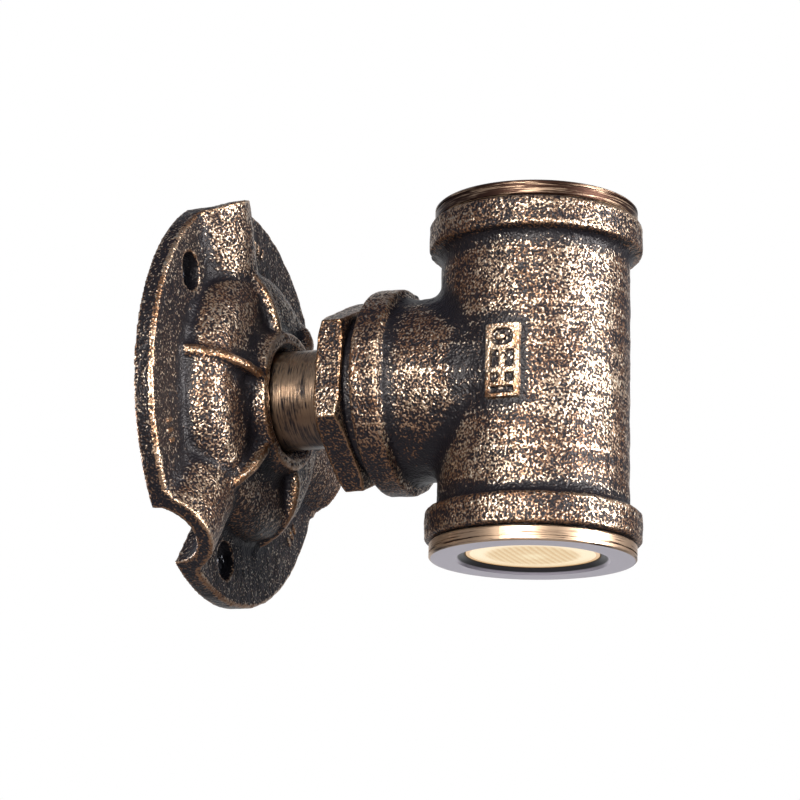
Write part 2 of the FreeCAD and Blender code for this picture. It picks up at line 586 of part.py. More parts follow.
def hex_bushing():
    """Hexagon with chamfered corners, a male thread for the tee and a bore for the nipple."""
    body = new_body("hex_bushing")
    turn_body(body, (0, -1, 0), "hex_clocking")
    hexagon = outline(new_sketch(body, "hexagon", "XZ_Plane", "hex_distance"),
                      [(f"hex_across_flats / 2 / cos(30) * cos({60 * corner})",
                        f"hex_across_flats / 2 / cos(30) * sin({60 * corner})") for corner in range(6)])
    pad(body, hexagon, "hexagon_pad", "hex_thickness")
    corner = "hex_across_flats / 2 / cos(30)"
    faces = (("rear", "-hex_distance", "-hex_distance - hex_chamfer_height"),
             ("front", "-hex_distance - hex_thickness", "hex_chamfer_height - hex_distance - hex_thickness"))
    for side, face, edge in faces:
        groove(body, outline(new_sketch(body, f"{side}_chamfer_section", "XY_Plane"), [
            (corner + " - hex_chamfer_width", face),
            (corner + " + cut_margin", face),
            (corner + " + cut_margin", edge),
            (corner, edge),
        ]), f"{side}_chamfer")
    thread = "socket_radius - thread_clearance"
    revolve(body, outline(new_sketch(body, "thread_section", "XY_Plane"), [
        ("nipple_radius", "-hex_distance - hex_thickness / 2"),
        (thread, "-hex_distance - hex_thickness / 2"),
        (thread, "bushing_thread_chamfer - " + BUSHING_END),
        (thread + " - bushing_thread_chamfer", "-" + BUSHING_END),
        ("nipple_radius", "-" + BUSHING_END),
    ]), "thread")
    bore = "nipple_radius + thread_clearance"
    groove(body, outline(new_sketch(body, "bore_section", "XY_Plane"), [
        ("0", "-hex_distance + cut_margin"),
        (bore, "-hex_distance + cut_margin"),
        (bore, "-hex_distance - bushing_bore_length"),
        ("bushing_relief_radius", "-hex_distance - bushing_bore_length"),
        ("bushing_relief_radius", "-" + BUSHING_END + " - cut_margin"),
        ("0", "-" + BUSHING_END + " - cut_margin"),
    ]), "bore")
    return body


def tee_fitting():
    """Cast tee with a band at each end, sockets for the rings and the bushing, and crossing bores."""
    body = new_body("tee_fitting", y="-" + RUN_AXIS)
    revolve(body, outline(new_sketch(body, "run_section", "XZ_Plane"), [
        ("0", "-run_half_length"),
        ("run_band_radius", "-run_half_length"),
        ("run_band_radius", "run_band_width - run_half_length"),
        ("run_body_radius", "run_band_width - run_half_length"),
        ("run_body_radius", "run_half_length - run_band_width"),
        ("run_band_radius", "run_half_length - run_band_width"),
        ("run_band_radius", "run_half_length"),
        ("0", "run_half_length"),
    ]), "run")
    revolve(body, outline(new_sketch(body, "branch_section", "XY_Plane"), [
        ("0", "0"),
        ("branch_body_radius", "0"),
        ("branch_body_radius", "branch_length - branch_band_width"),
        ("branch_band_radius", "branch_length - branch_band_width"),
        ("branch_band_radius", "branch_length"),
        ("0", "branch_length"),
    ]), "branch")
    soften(body, "saddle", "saddle_round", is_saddle)
    soften(body, "band_roots", "band_root_round", is_band_root)
    soften(body, "band_edges", "band_edge_round", lambda edge:
           is_circle(edge, "run_band_radius") or is_circle(edge, "branch_band_radius"))
    bore_tee(body)
    return body


def is_saddle(edge):
    """Edges of the curve in which the branch meets the run."""
    return not isinstance(edge.Curve, (Part.Circle, Part.Line))


def is_band_root(edge):
    """Edges in the corner between a band and the body."""
    run_root = is_circle(edge, "run_body_radius") and abs(edge.Curve.Axis.z) > 0.5
    branch_root = is_circle(edge, "branch_body_radius") and abs(edge.Curve.Axis.y) > 0.5
    return run_root or branch_root


def bore_tee(body):
    """Bores and sockets: one profile through the run, one in the branch."""
    bore_end = "run_half_length - run_socket_depth"
    mouth = "socket_radius + socket_chamfer"
    groove(body, outline(new_sketch(body, "run_bore_section", "XZ_Plane"), [
        ("0", "-run_half_length - cut_margin"),
        (mouth, "-run_half_length - cut_margin"),
        (mouth, "-run_half_length"),
        ("socket_radius", "socket_chamfer - run_half_length"),
        ("socket_radius", "run_socket_depth - run_half_length"),
        ("tee_bore_radius", "run_socket_depth - run_half_length"),
        ("tee_bore_radius", bore_end),
        ("socket_radius", bore_end),
        ("socket_radius", "run_half_length - socket_chamfer"),
        (mouth, "run_half_length"),
        (mouth, "run_half_length + cut_margin"),
        ("0", "run_half_length + cut_margin"),
    ]), "run_bore")
    groove(body, outline(new_sketch(body, "branch_bore_section", "XY_Plane"), [
        ("0", "0"),
        ("tee_bore_radius", "0"),
        ("tee_bore_radius", "branch_length - branch_socket_depth"),
        ("socket_radius", "branch_length - branch_socket_depth"),
        ("socket_radius", "branch_length - socket_chamfer"),
        (mouth, "branch_length"),
        (mouth, "branch_length + cut_margin"),
        ("0", "branch_length + cut_margin"),
    ]), "branch_bore")


def end_piece(name, end, corners):
    """A turned piece on the run's axis; the lower one is the upper one turned half round."""
    body = turned_piece(f"{end}_{name}", "XZ_Plane", corners, y="-" + RUN_AXIS)
    if end == "lower":
        turn_body(body, (0, 1, 0), "180")
    return body


def retaining_ring(end):
    """Turned ring with a threaded sleeve, a bevelled opening and a lip that holds the lens."""
    groove_top = RING_FACE + " - ring_groove_distance"
    return end_piece("retaining_ring", end, [
        ("ring_radius - ring_edge_chamfer", RING_BACK),
        ("ring_radius", RING_BACK + " + ring_edge_chamfer"),
        ("ring_radius", groove_top + " - ring_groove_width"),
        ("ring_radius - ring_groove_depth", groove_top + " - ring_groove_width"),
        ("ring_radius - ring_groove_depth", groove_top),
        ("ring_radius", groove_top),
        ("ring_radius", RING_FACE + " - ring_edge_chamfer"),
        ("ring_radius - ring_edge_chamfer", RING_FACE),
        ("ring_opening_radius + ring_bevel", RING_FACE),
        ("ring_opening_radius", RING_FACE + " - ring_bevel"),
        ("ring_lip_radius", RING_FACE + " - ring_lip_depth"),
        ("ring_lip_radius", LIP_BACK),
        (SEAT_RADIUS, LIP_BACK),
        (SEAT_RADIUS, RING_BACK + " - ring_sleeve_length"),
        (SLEEVE_RADIUS, RING_BACK + " - ring_sleeve_length"),
        (SLEEVE_RADIUS, RING_BACK),
    ])


def lens_gasket(end):
    """Flat washer between the ring's lip and the lens's flange."""
    return end_piece("lens_gasket", end, [
        (LENS_WINDOW_RADIUS + " + thread_clearance", LENS_FLANGE_TOP),
        (LENS_FLANGE_RADIUS, LENS_FLANGE_TOP),
        (LENS_FLANGE_RADIUS, GASKET_TOP),
        (LENS_WINDOW_RADIUS + " + thread_clearance", GASKET_TOP),
    ])


def lens(end):
    """Collimating lens: a round window on a flange, a cone, and a hollow over the light source."""
    base = BOARD_TOP + " + part_clearance"
    flange_back = LENS_FLANGE_TOP + " - lens_flange_thickness"
    return end_piece("lens", end, [
        ("0", base + " + lens_cavity_depth"),
        ("lens_cavity_radius", base + " + lens_cavity_depth"),
        ("lens_cavity_radius", base),
        ("lens_base_radius", base),
        ("lens_shoulder_radius", flange_back),
        (LENS_FLANGE_RADIUS, flange_back),
        (LENS_FLANGE_RADIUS, LENS_FLANGE_TOP),
        (LENS_WINDOW_RADIUS, LENS_FLANGE_TOP),
        (LENS_WINDOW_RADIUS, RING_FACE + " - lens_face_depth"),
        ("0", RING_FACE + " - lens_face_depth"),
    ])


def across(end, text):
    """An X place in the frame of an end piece, which is turned half round at the lower end."""
    return text if end == "upper" else "-(" + text + ")"


def lead_slot(body, end, name, start, length):
    """Slot through which the two leads pass."""
    room = "(lead_radius + lead_hole_margin)"
    middle = across(end, "lead_radius - driver_board_offset")
    slot = box_outline(new_sketch(body, name + "_place", "XY_Plane", start),
                       middle + " - " + room, "lead_distance - lead_pitch / 2 - " + room,
                       middle + " + " + room, "lead_distance + lead_pitch / 2 + " + room)
    pocket(body, slot, name, length)


def screw_pair(body, name, start, radius, length, cut=False):
    """Two equal round posts or holes, one at each side of the run's axis."""
    places = new_sketch(body, name + "_places", "XY_Plane", start)
    disc(places, "board_screw_circle", "0", radius)
    disc(places, "-board_screw_circle", "0", radius)
    return (pocket if cut else pad)(body, places, name, length)


def heat_sink(end):
    """Round metal plug seated on the shoulder of its socket, with slots between straight fins."""
    plug = "tee_bore_radius - thread_clearance"
    back = RUN_SHOULDER + " - " + SINK_LENGTH
    body = end_piece("heat_sink", end, [
        ("0", back),
        (plug, back),
        (plug, RUN_SHOULDER),
        (SLEEVE_RADIUS, RUN_SHOULDER),
        (SLEEVE_RADIUS, SINK_TOP),
        ("0", SINK_TOP),
    ])
    slot = box_outline(new_sketch(body, f"{end}_fin_slot_place", "XY_Plane", back),
                       "-sink_slot_width / 2", "-tee_bore_radius", "sink_slot_width / 2", "tee_bore_radius")
    cut = pocket(body, slot, f"{end}_fin_slot", SINK_LENGTH + " - sink_base_thickness")
    fins = body.newObject("PartDesign::MultiTransform", f"{end}_fins")
    fins.Originals = [cut]
    fins.Transformations = [side_row(body, end, "1"), side_row(body, end, "-1")]
    body.Tip = fins
    doc.recompute()
    lead_slot(body, end, f"{end}_sink_lead_slot", back, SINK_LENGTH + " + sink_flange_thickness")
    screw_pair(body, f"{end}_sink_threads", SINK_TOP + " - board_screw_depth",
               "board_screw_radius + thread_clearance", "board_screw_depth", cut=True)
    return body


def side_row(body, end, side):
    """A row of slots to one side of the middle slot."""
    row = doc.addObject("PartDesign::LinearPattern", f"{end}_row")
    axis = [item for item in body.Origin.OriginFeatures if item.Role == "X_Axis"][0]
    row.Direction = (axis, [""])
    row.Reversed = side == "-1"
    bind(row, "Length", "sink_slot_pitch * (sink_slot_count - 1) / 2")
    bind(row, "Occurrences", "(sink_slot_count + 1) / 2")
    return row


def light_board(end):
    """Round metal-backed board with a slot for its leads and two screw holes."""
    body = end_piece("light_board", end, [
        ("0", SINK_TOP),
        ("board_radius", SINK_TOP),
        ("board_radius", BOARD_TOP),
        ("0", BOARD_TOP),
    ])
    lead_slot(body, end, f"{end}_board_lead_slot", SINK_TOP, "board_thickness")
    screw_pair(body, f"{end}_board_holes", SINK_TOP, "board_screw_radius + thread_clearance",
               "board_thickness", cut=True)
    return body


def light_source(end):
    """Round light source on its board."""
    return end_piece("light_source", end, [
        ("0", BOARD_TOP),
        ("chip_radius", BOARD_TOP),
        ("chip_radius", BOARD_TOP + " + chip_height"),
        ("0", BOARD_TOP + " + chip_height"),
    ])


def board_screws(end):
    """Two screws that hold a light board on its heat sink."""
    body = new_body(f"{end}_board_screws", y="-" + RUN_AXIS)
    if end == "lower":
        turn_body(body, (0, 1, 0), "180")
    screw_pair(body, f"{end}_shanks", SINK_TOP + " - board_screw_depth", "board_screw_radius",
               "board_screw_depth + board_thickness")
    screw_pair(body, f"{end}_heads", BOARD_TOP, "board_head_radius", "board_head_height")
    return body


def driver_case():
    """Round cup for the driver, clamped by its flange between the bushing and the branch's shoulder."""
    far_end = "-" + BRANCH_SHOULDER + " - driver_length"
    body = turned_piece("driver_case", "XY_Plane", [
        (DRIVER_BORE, "-" + BUSHING_END),
        ("socket_radius - thread_clearance", "-" + BUSHING_END),
        ("socket_radius - thread_clearance", "-" + BRANCH_SHOULDER),
        ("driver_radius", "-" + BRANCH_SHOULDER),
        ("driver_radius", far_end),
        ("0", far_end),
        ("0", far_end + " + driver_wall"),
        (DRIVER_BORE, far_end + " + driver_wall"),
    ])
    room = "(lead_radius + lead_hole_margin)"
    middle = "lead_radius - driver_board_offset"
    centre = "(lead_distance - " + RUN_AXIS + ")"
    slot = box_outline(new_sketch(body, "case_lead_slot_place", "XY_Plane", "-driver_radius - cut_margin"),
                       middle + " - " + room, centre + " - lead_pitch / 2 - " + room,
                       middle + " + " + room, centre + " + lead_pitch / 2 + " + room)
    pocket(body, slot, "case_lead_slots", "2 * (driver_radius + cut_margin)")
    return body


def driver_cover():
    """Cover of the driver case, with a spigot and a round hole for the cable."""
    hole = "cable_radius + part_clearance"
    spigot = DRIVER_BORE + " - thread_clearance"
    return turned_piece("driver_cover", "XY_Plane", [
        (hole, "driver_cover_thickness - " + BUSHING_END),
        ("driver_cover_radius", "driver_cover_thickness - " + BUSHING_END),
        ("driver_cover_radius", "-" + BUSHING_END),
        (spigot, "-" + BUSHING_END),
        (spigot, "-" + BUSHING_END + " - driver_spigot_length"),
        (hole, "-" + BUSHING_END + " - driver_spigot_length"),
    ])


def on_driver_board(name, draw, height):
    """A component that stands on the driver's board; draw adds its outline, with x along the board."""
    body = new_body(name, x="-driver_board_offset")
    sketch = new_sketch(body, name + "_outline", "YZ_Plane")
    draw(sketch)
    pad(body, sketch, name + "_pad", height)
    return body


def driver_board():
    """Board of the driver, with its parts on the +X side."""
    body = new_body("driver_board", x="-driver_board_offset - driver_board_thickness")
    start = "-" + CABLE_END + " - part_clearance"
    sketch = box_outline(new_sketch(body, "driver_board_outline", "YZ_Plane"),
                         start + " - " + DRIVER_BOARD_LENGTH, "-" + DRIVER_BOARD_HALF_WIDTH,
                         start, DRIVER_BOARD_HALF_WIDTH)
    pad(body, sketch, "driver_board_pad", "driver_board_thickness")
    return body


def driver_components():
    """Input terminal in front of the cable's end, transformer, capacitor and choke."""
    start = "-" + CABLE_END + " - part_clearance"
    on_driver_board("driver_input_terminal", lambda sketch: box_outline(
        sketch, start + " - driver_terminal_length", "-driver_terminal_width / 2",
        start, "driver_terminal_width / 2"), "driver_terminal_height")
    far = start + " - " + DRIVER_BOARD_LENGTH + " + transformer_inset"
    winding = on_driver_board("driver_transformer", lambda sketch: box_outline(
        sketch, far, "-transformer_width / 2", far + " + transformer_length",
        "transformer_width / 2"), "transformer_height - bobbin_step")
    core = box_outline(new_sketch(winding, "transformer_core_outline", "YZ_Plane"),
                       far + " + bobbin_step", "bobbin_step - transformer_width / 2",
                       far + " + transformer_length - bobbin_step", "transformer_width / 2 - bobbin_step")
    pad(winding, core, "transformer_core", "transformer_height")
    on_driver_board("driver_capacitor", lambda sketch: disc(
        sketch, start + " - " + CAPACITOR_PLACE, "capacitor_side", "capacitor_radius"), "capacitor_height")
    on_driver_board("driver_choke", lambda sketch: disc(
        sketch, start + " - " + CAPACITOR_PLACE, "-choke_side", "choke_radius"), "choke_height")


def terminal_block():
    """Three-pole block in the flange's hollow: wells for the clamping screws and entries for the wires."""
    body = new_body("terminal_block")
    turn_body(body, (0, -1, 0), "flange_clocking")
    block = box_outline(new_sketch(body, "block_outline", "XZ_Plane", "terminal_floor"),
                        "-" + TERMINAL_HALF_LENGTH, "-" + TERMINAL_BACK,
                        TERMINAL_HALF_LENGTH, "-" + TERMINAL_FRONT)
    pad(body, block, "block", "terminal_ceiling - terminal_floor")
    wells = new_sketch(body, "well_places", "XZ_Plane", "terminal_floor")
    entries = new_sketch(body, "entry_places", "XY_Plane", "-" + TERMINAL_FRONT + " - terminal_entry_depth")
    for pole in (-1, 0, 1):
        disc(wells, f"{pole} * {TERMINAL_PITCH}" if pole else "0", "-" + WELL_MIDDLE, "terminal_well_radius")
        disc(entries, f"{pole} * {TERMINAL_PITCH}" if pole else "0", "-core_height",
             "core_radius + thread_clearance")
    pocket(body, wells, "wells", WELL_DEPTH)
    pocket(body, entries, "entries", "terminal_entry_depth")
    hole = disc(new_sketch(body, "fixing_hole_place", "XZ_Plane", "terminal_floor"),
                TERMINAL_PITCH + " / 2", "-" + TERMINAL_MIDDLE, "fixing_screw_radius + thread_clearance")
    pocket(body, hole, "fixing_hole", "terminal_ceiling - terminal_floor")
    return body


def terminal_screws():
    """Clamping screws in the block's wells."""
    body = new_body("terminal_screws")
    turn_body(body, (0, -1, 0), "flange_clocking")
    places = new_sketch(body, "terminal_screw_places", "XZ_Plane",
                        f"terminal_floor + {WELL_DEPTH} - terminal_screw_length")
    for pole in (-1, 0, 1):
        disc(places, f"{pole} * {TERMINAL_PITCH}" if pole else "0", "-" + WELL_MIDDLE,
             "terminal_well_radius - part_clearance")
    pad(body, places, "terminal_screws_pad", "terminal_screw_length")
    return body


def headed_screw(name, x, z, face, shank, head):
    """A screw along Y in the turned flange: face is where its head ends; sizes are (radius, length)."""
    body = new_body(name)
    turn_body(body, (0, -1, 0), "flange_clocking")
    pad(body, disc(new_sketch(body, name + "_head_place", "XZ_Plane", f"{face} - {head[1]}"), x, z, head[0]),
        name + "_head", head[1])
    pad(body, disc(new_sketch(body, name + "_shank_place", "XZ_Plane", face), x, z, shank[0]),
        name + "_shank", shank[1])
    return body


def flange_screws():
    """The screw through the terminal block and the earth screw."""
    headed_screw("terminal_fixing_screw", TERMINAL_PITCH + " / 2", "-" + TERMINAL_MIDDLE, "terminal_floor",
                 ("fixing_screw_radius", "terminal_ceiling - terminal_floor + fixing_screw_depth"),
                 ("fixing_head_radius", "fixing_head_height"))
    headed_screw("earth_screw", EARTH_CIRCLE + " * cos(earth_angle)",
                 EARTH_CIRCLE + " * sin(earth_angle)", "earth_boss_height - earth_lug_thickness",
                 ("earth_screw_radius", "earth_lug_thickness + earth_screw_depth"),
                 ("earth_head_radius", "earth_head_height"))


def earth_lug():
    """Ring lug under the earth screw's head, with a round barrel that points along its lead."""
    body = new_body("earth_lug")
    turn_body(body, (0, -1, 0), "flange_clocking + earth_angle")
    flat = "earth_boss_height - earth_lug_thickness"
    eye = new_sketch(body, "eye_outline", "XZ_Plane", flat)
    disc(eye, EARTH_CIRCLE, "0", "earth_boss_radius")
    disc(eye, EARTH_CIRCLE, "0", "earth_screw_radius + thread_clearance")
    pad(body, eye, "eye", "earth_lug_thickness")
    middle = "-" + LUG_MIDDLE
    barrel = new_sketch(body, "barrel_outline", "XY_Plane", "-earth_barrel_start - earth_barrel_length")
    disc(barrel, EARTH_CIRCLE, middle, "earth_barrel_radius")
    pad(body, barrel, "barrel", "earth_barrel_length")
    bore = new_sketch(body, "barrel_bore_outline", "XY_Plane", "-earth_barrel_start - earth_barrel_length")
    disc(bore, EARTH_CIRCLE, middle, "core_radius + thread_clearance")
    pocket(body, bore, "barrel_bore", "earth_barrel_length / 2")
    return body


def supply_cable():
    """Straight jacketed cable on the nipple's axis, from inside the hub to the driver's terminal."""
    body = new_body("supply_cable")
    place = new_sketch(body, "cable_section", "XZ_Plane", "core_bend_height")
    section = disc(place, "0", "0", "cable_radius")
    pad(body, section, "cable", CABLE_END + " - core_bend_height")
    return body


def rounded_route(points, radii):
    """A path of straight runs joined by tangent arcs, one radius for each inner point."""
    edges = []
    start = points[0]
    for number, radius in enumerate(radii, start=1):
        corner = points[number]
        back = (points[number - 1] - corner).normalize()
        ahead = (points[number + 1] - corner).normalize()
        half = math.acos(max(-1.0, min(1.0, back.dot(ahead)))) / 2
        first = corner + back * (radius / math.tan(half))
        last = corner + ahead * (radius / math.tan(half))
        middle = corner + (back + ahead).normalize() * (radius / math.sin(half) - radius)
        edges.append(Part.LineSegment(start, first).toShape())
        edges.append(Part.Arc(first, middle, last).toShape())
        start = last
    edges.append(Part.LineSegment(start, points[-1]).toShape())
    return Part.Wire(edges)


def tube(route, radius):
    """A round solid along a path."""
    first = route.Edges[0]
    section = Part.Wire([Part.makeCircle(radius, first.valueAt(first.FirstParameter),
                                         first.tangentAt(first.FirstParameter))])
    shell = Part.BRepOffsetAPI.MakePipeShell(route)
    shell.add(section)
    shell.build()
    shell.makeSolid()
    solid = shell.shape()
    expected = math.pi * radius ** 2 * route.Length
    if abs(solid.Volume - expected) > 0.01 * expected:
        raise RuntimeError("a swept tube has the wrong volume")
    return solid


def wire(name, routes, radius):
    """A piece made of one tube per route."""
    item = doc.addObject("Part::Feature", name)
    item.Label = name
    solids = [tube(route, amount(radius)) for route in routes]
    item.Shape = solids[0] if len(solids) == 1 else Part.makeCompound(solids)
    return item


def turn_with_flange(item):
    """Turn a piece drawn in the flange's frame to the flange's place."""
    item.Placement = FreeCAD.Placement(FreeCAD.Vector(0, 0, 0),
                                       FreeCAD.Rotation(FreeCAD.Vector(0, -1, 0), amount("flange_clocking")))


def spot(x, y, z):
    """A point from three formulas."""
    return FreeCAD.Vector(amount(x), amount(y), amount(z))


def cable_cores():
    """The two cores from the terminal block, under the boss and up into the cable's jacket."""
    entry = "-" + TERMINAL_FRONT
    for name, side in (("live_core", "-"), ("neutral_core", "")):
        pole = side + TERMINAL_PITCH
        inside = f"{side}core_spread"
        points = [spot(pole, "-core_height", entry + " - terminal_entry_depth"),
                  spot(pole, "-core_height", entry + " + core_straight"),
                  spot(inside, "-core_height", "0"),
                  spot(inside, "-core_bend_height", "0")]
        bends = [amount("core_bend_radius"), amount("core_bend_radius")]
        turn_with_flange(wire(name, [rounded_route(points, bends)], "core_radius"))


def earth_lead():
    """The earth lead from the terminal block's end to the lug's barrel."""
    level = "-" + LUG_MIDDLE
    angle = math.radians(amount("earth_angle"))
    radius = amount(EARTH_CIRCLE)
    out = FreeCAD.Vector(math.cos(angle), 0, math.sin(angle))
    along = FreeCAD.Vector(math.sin(angle), 0, -math.cos(angle))
    lug = out * radius + FreeCAD.Vector(0, amount(level), 0)
    seat = lug + along * amount("earth_barrel_start + earth_barrel_length / 2")
    row = amount("-" + TERMINAL_MIDDLE)
    corner = lug + along * ((row - lug.z) / along.z)
    start = spot(TERMINAL_HALF_LENGTH, level, "-" + TERMINAL_MIDDLE)
    half_turn = math.acos(along.x * -1) / 2
    reach = min((corner - start).Length, (corner - seat).Length)
    bend = 0.45 * reach * math.tan(math.pi / 2 - half_turn) if half_turn else reach
    turn_with_flange(wire("earth_lead", [rounded_route([start, corner, seat], [bend])], "core_radius"))


def light_leads(end):
    """Two leads from the driver's board through the case and the heat sink to a light board."""
    side = 1 if end == "upper" else -1
    x = "lead_radius - driver_board_offset"
    routes = []
    for row in (-1, 1):
        y = f"lead_distance - {RUN_AXIS} + {row} * lead_pitch / 2"
        top = BOARD_TOP + " + lead_rise"
        points = [spot(x, y, f"{side} * lead_start"),
                  spot(x, y, f"{side} * ({top})"),
                  spot(x, y, f"{side} * ({top})") - FreeCAD.Vector(0, amount("lead_tail"), 0)]
        routes.append(rounded_route(points, [amount("lead_bend_radius")]))
    wire(f"{end}_light_leads", routes, "lead_radius")


def check_and_write():
    """Refuse a failed or empty piece, then write one STEP file per piece."""
    doc.recompute()
    for item in doc.Objects:
        if any(word in item.State for word in ("Invalid", "Error")):
            raise RuntimeError(f"{item.Name} failed: {item.State}")
        if item.TypeId in ("PartDesign::Pocket", "PartDesign::Groove"):
            if item.Shape.Volume > item.BaseFeature.Shape.Volume - 1e-3:
                raise RuntimeError(f"{item.Name} cuts nothing")
    pieces = [item for item in doc.Objects if item.TypeId in ("PartDesign::Body", "Part::Feature")]
    os.makedirs("parts", exist_ok=True)
    for piece in pieces:
        if piece.Shape.isNull() or not piece.Shape.isValid():
            raise RuntimeError(f"{piece.Label} has no valid shape")
    for piece in pieces:
        piece.Shape.exportStep(f"parts/{piece.Label}.step")
        print(f"{piece.Label}: {len(piece.Shape.Solids)} solids, {piece.Shape.Volume:.1f} mm3")
    print(f"{len(pieces)} pieces")


def build():
    """All the pieces, from the wall outwards."""
    wall_flange()
    terminal_block()
    terminal_screws()
    flange_screws()
    earth_lug()
    earth_lead()
    cable_cores()
    supply_cable()
    pipe_nipple()
    hex_bushing()
    tee_fitting()
    driver_case()
    driver_cover()
    driver_board()
    driver_components()
    for end in ("lower", "upper"):
        heat_sink(end)
        light_board(end)
        light_source(end)
        board_screws(end)
        light_leads(end)
        lens(end)
        lens_gasket(end)
        retaining_ring(end)


build()
check_and_write()
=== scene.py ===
"""Wall light built from pipe fittings.

The castings' skins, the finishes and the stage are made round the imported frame.
"""

import math

import bmesh
import bpy
import numpy as np
from mathutils import Matrix, Vector


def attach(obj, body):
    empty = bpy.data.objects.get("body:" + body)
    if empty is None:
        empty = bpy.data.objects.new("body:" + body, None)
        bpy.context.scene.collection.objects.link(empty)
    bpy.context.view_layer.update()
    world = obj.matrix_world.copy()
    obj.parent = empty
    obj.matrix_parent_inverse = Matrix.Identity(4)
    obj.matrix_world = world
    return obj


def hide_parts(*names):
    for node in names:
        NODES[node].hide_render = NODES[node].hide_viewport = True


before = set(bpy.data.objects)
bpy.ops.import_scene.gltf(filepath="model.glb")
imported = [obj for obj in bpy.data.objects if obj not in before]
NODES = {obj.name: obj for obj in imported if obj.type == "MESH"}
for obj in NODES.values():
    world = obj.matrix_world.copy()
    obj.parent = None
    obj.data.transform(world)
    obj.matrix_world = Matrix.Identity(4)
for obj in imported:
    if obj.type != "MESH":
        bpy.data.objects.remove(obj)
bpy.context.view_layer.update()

MM = 0.001

bl_info = {
    "name": "Pipe Fitting Wall Light",
    "version": (1, 0, 0),
    "blender": (4, 5, 0),
    "location": "View3D > Sidebar > Wall Light",
    "description": "Skins, finishes and stage for a wall light made of pipe fittings",
    "category": "Object",
}

# Places in the object's frame, in millimetres and degrees round the nipple. The wall is y = 0,
# and the light stands out along -y.
RUN_AXIS = -80.55
RUN_HALF_LENGTH = 38.6
RUN_BODY_RADIUS = 22.5
BRANCH_FACE = -42.9
PLATE_THICKNESS = 4.7
SCREW_CIRCLE = 40.49
SCREW_ANGLES = (21.7, 141.7, 261.7)
MARK_CIRCLE = 42.3
MARK_ANGLES = (81.7, 201.7, 321.7)
LENS_FACE = 41.2
LENS_WINDOW_RADIUS = 15.6

# The cast panel on the run, in millimetres: across from the run's axis to the wall, along upwards.
PANEL_ACROSS = 0.4
PANEL_ALONG = -0.2
PANEL_HALF_WIDTH = 4.3
PANEL_HALF_HEIGHT = 9.1
PANEL_CORNER = 0.8
# Each window's middle across and along, its half width and half height, and its corner radius.
PANEL_WINDOWS = (
    (0.0, 5.55, 2.5, 1.9, 1.8),
    (-1.75, 0.35, 1.0, 2.0, 0.4),
    (1.75, 0.35, 1.0, 2.0, 0.4),
    (-1.75, -4.1, 1.0, 1.0, 0.3),
    (1.75, -4.1, 1.0, 1.0, 0.3),
    (0.0, -7.0, 2.7, 0.75, 0.3),
)

# A mark's row of bars on the flange and the beads in a lens, in millimetres.
MARK_HALF_LENGTH = 3.6
MARK_HALF_WIDTH = 1.7
MARK_BAR_PITCH = 2.4
BEAD_FIELD = 12.5
BEAD_PITCH_ACROSS = 1.3
BEAD_PITCH_ALONG = 3.2
BEAD_HEIGHT = 0.1
LENS_DOME_HEIGHT = 0.45

# How deep slabs reach into what carries them, in millimetres.
SLAB_SINK = 0.9

# The camera at the photograph's viewing angle: its place and lens in millimetres, and its axes.
CAMERA_PLACE = (-576.712, -269.714, -161.275)
CAMERA_RIGHT = (0.35525, -0.93448, 0.02316)
CAMERA_UP = (-0.24170, -0.06790, 0.96797)
CAMERA_BACK = (-0.90298, -0.34948, -0.24999)
CAMERA_LENS = 119.3
SENSOR_WIDTH = 36.0
CAMERA_CLIP = (0.01, 20.0)

# The stage, in millimetres: lamps stand round a point at this depth and face it.
AIM_DEPTH = -55.0
LAMP_DISTANCE = 900.0
LAMP_SPREAD = math.radians(70)
FLOOR_HEIGHT = -450.0
# The floor's size, where its paper sweep begins and ends, and what counts as behind, in metres.
FLOOR_SIZE = 6.0
FLOOR_SWEEP = (0.25, 1.2)
FLOOR_BEHIND = (-1.3, -0.6)
# How strongly the floor glows for the camera near the object, how bright the dim studio is, and
# the cosines between which the white wall behind the object fades into it.
FLOOR_GLOW = 0.45
STUDIO_SHARE = 0.2
WHITE_CONE = (-0.92, -0.79)


def linear(code):
    """An sRGB hex colour as linear red, green and blue."""
    shares = [int(code[place:place + 2], 16) / 255 for place in (1, 3, 5)]
    return [share / 12.92 if share <= 0.04045 else ((share + 0.055) / 1.055) ** 2.4
            for share in shares]


def colour(code, name, description):
    """A colour setting with its default."""
    return bpy.props.FloatVectorProperty(name=name, description=description, subtype="COLOR",
                                         size=3, min=0.0, max=1.0, default=linear(code))


def length(default, name, description):
    """A length setting in millimetres with its default."""
    return bpy.props.FloatProperty(name=name, description=description, default=default * MM,
                                   subtype="DISTANCE", unit="LENGTH", precision=5, min=0.0)


def share(default, name, description, top=1.0):
    """A factor setting with its default."""
    return bpy.props.FloatProperty(name=name, description=description, default=default,
                                   subtype="FACTOR", min=0.0, max=top)


def power(default, name, description):
    """A lamp's power setting with its default."""
    return bpy.props.FloatProperty(name=name, description=description, default=default,
                                   subtype="POWER", unit="POWER", min=0.0)


class WALLLIGHT_PG_castings(bpy.types.PropertyGroup):
    """Sizes of the sand-cast skins."""
    flange_pitch: length(0.52, "Flange Mesh Pitch", "Size of the faces of the wall flange's skin")
    tee_pitch: length(0.6, "Tee Mesh Pitch", "Size of the faces of the tee's skin")
    bushing_pitch: length(0.4, "Bushing Mesh Pitch", "Size of the faces of the hex bushing's skin")
    swell: length(0.06, "Sand Swell", "Height of the waves that the sand mould leaves")
    plaque_height: length(1.1, "Plaque Height", "Height of the cast panel on the tee")
    mark_height: length(0.55, "Mark Height", "Height of the cast bars on the flange")


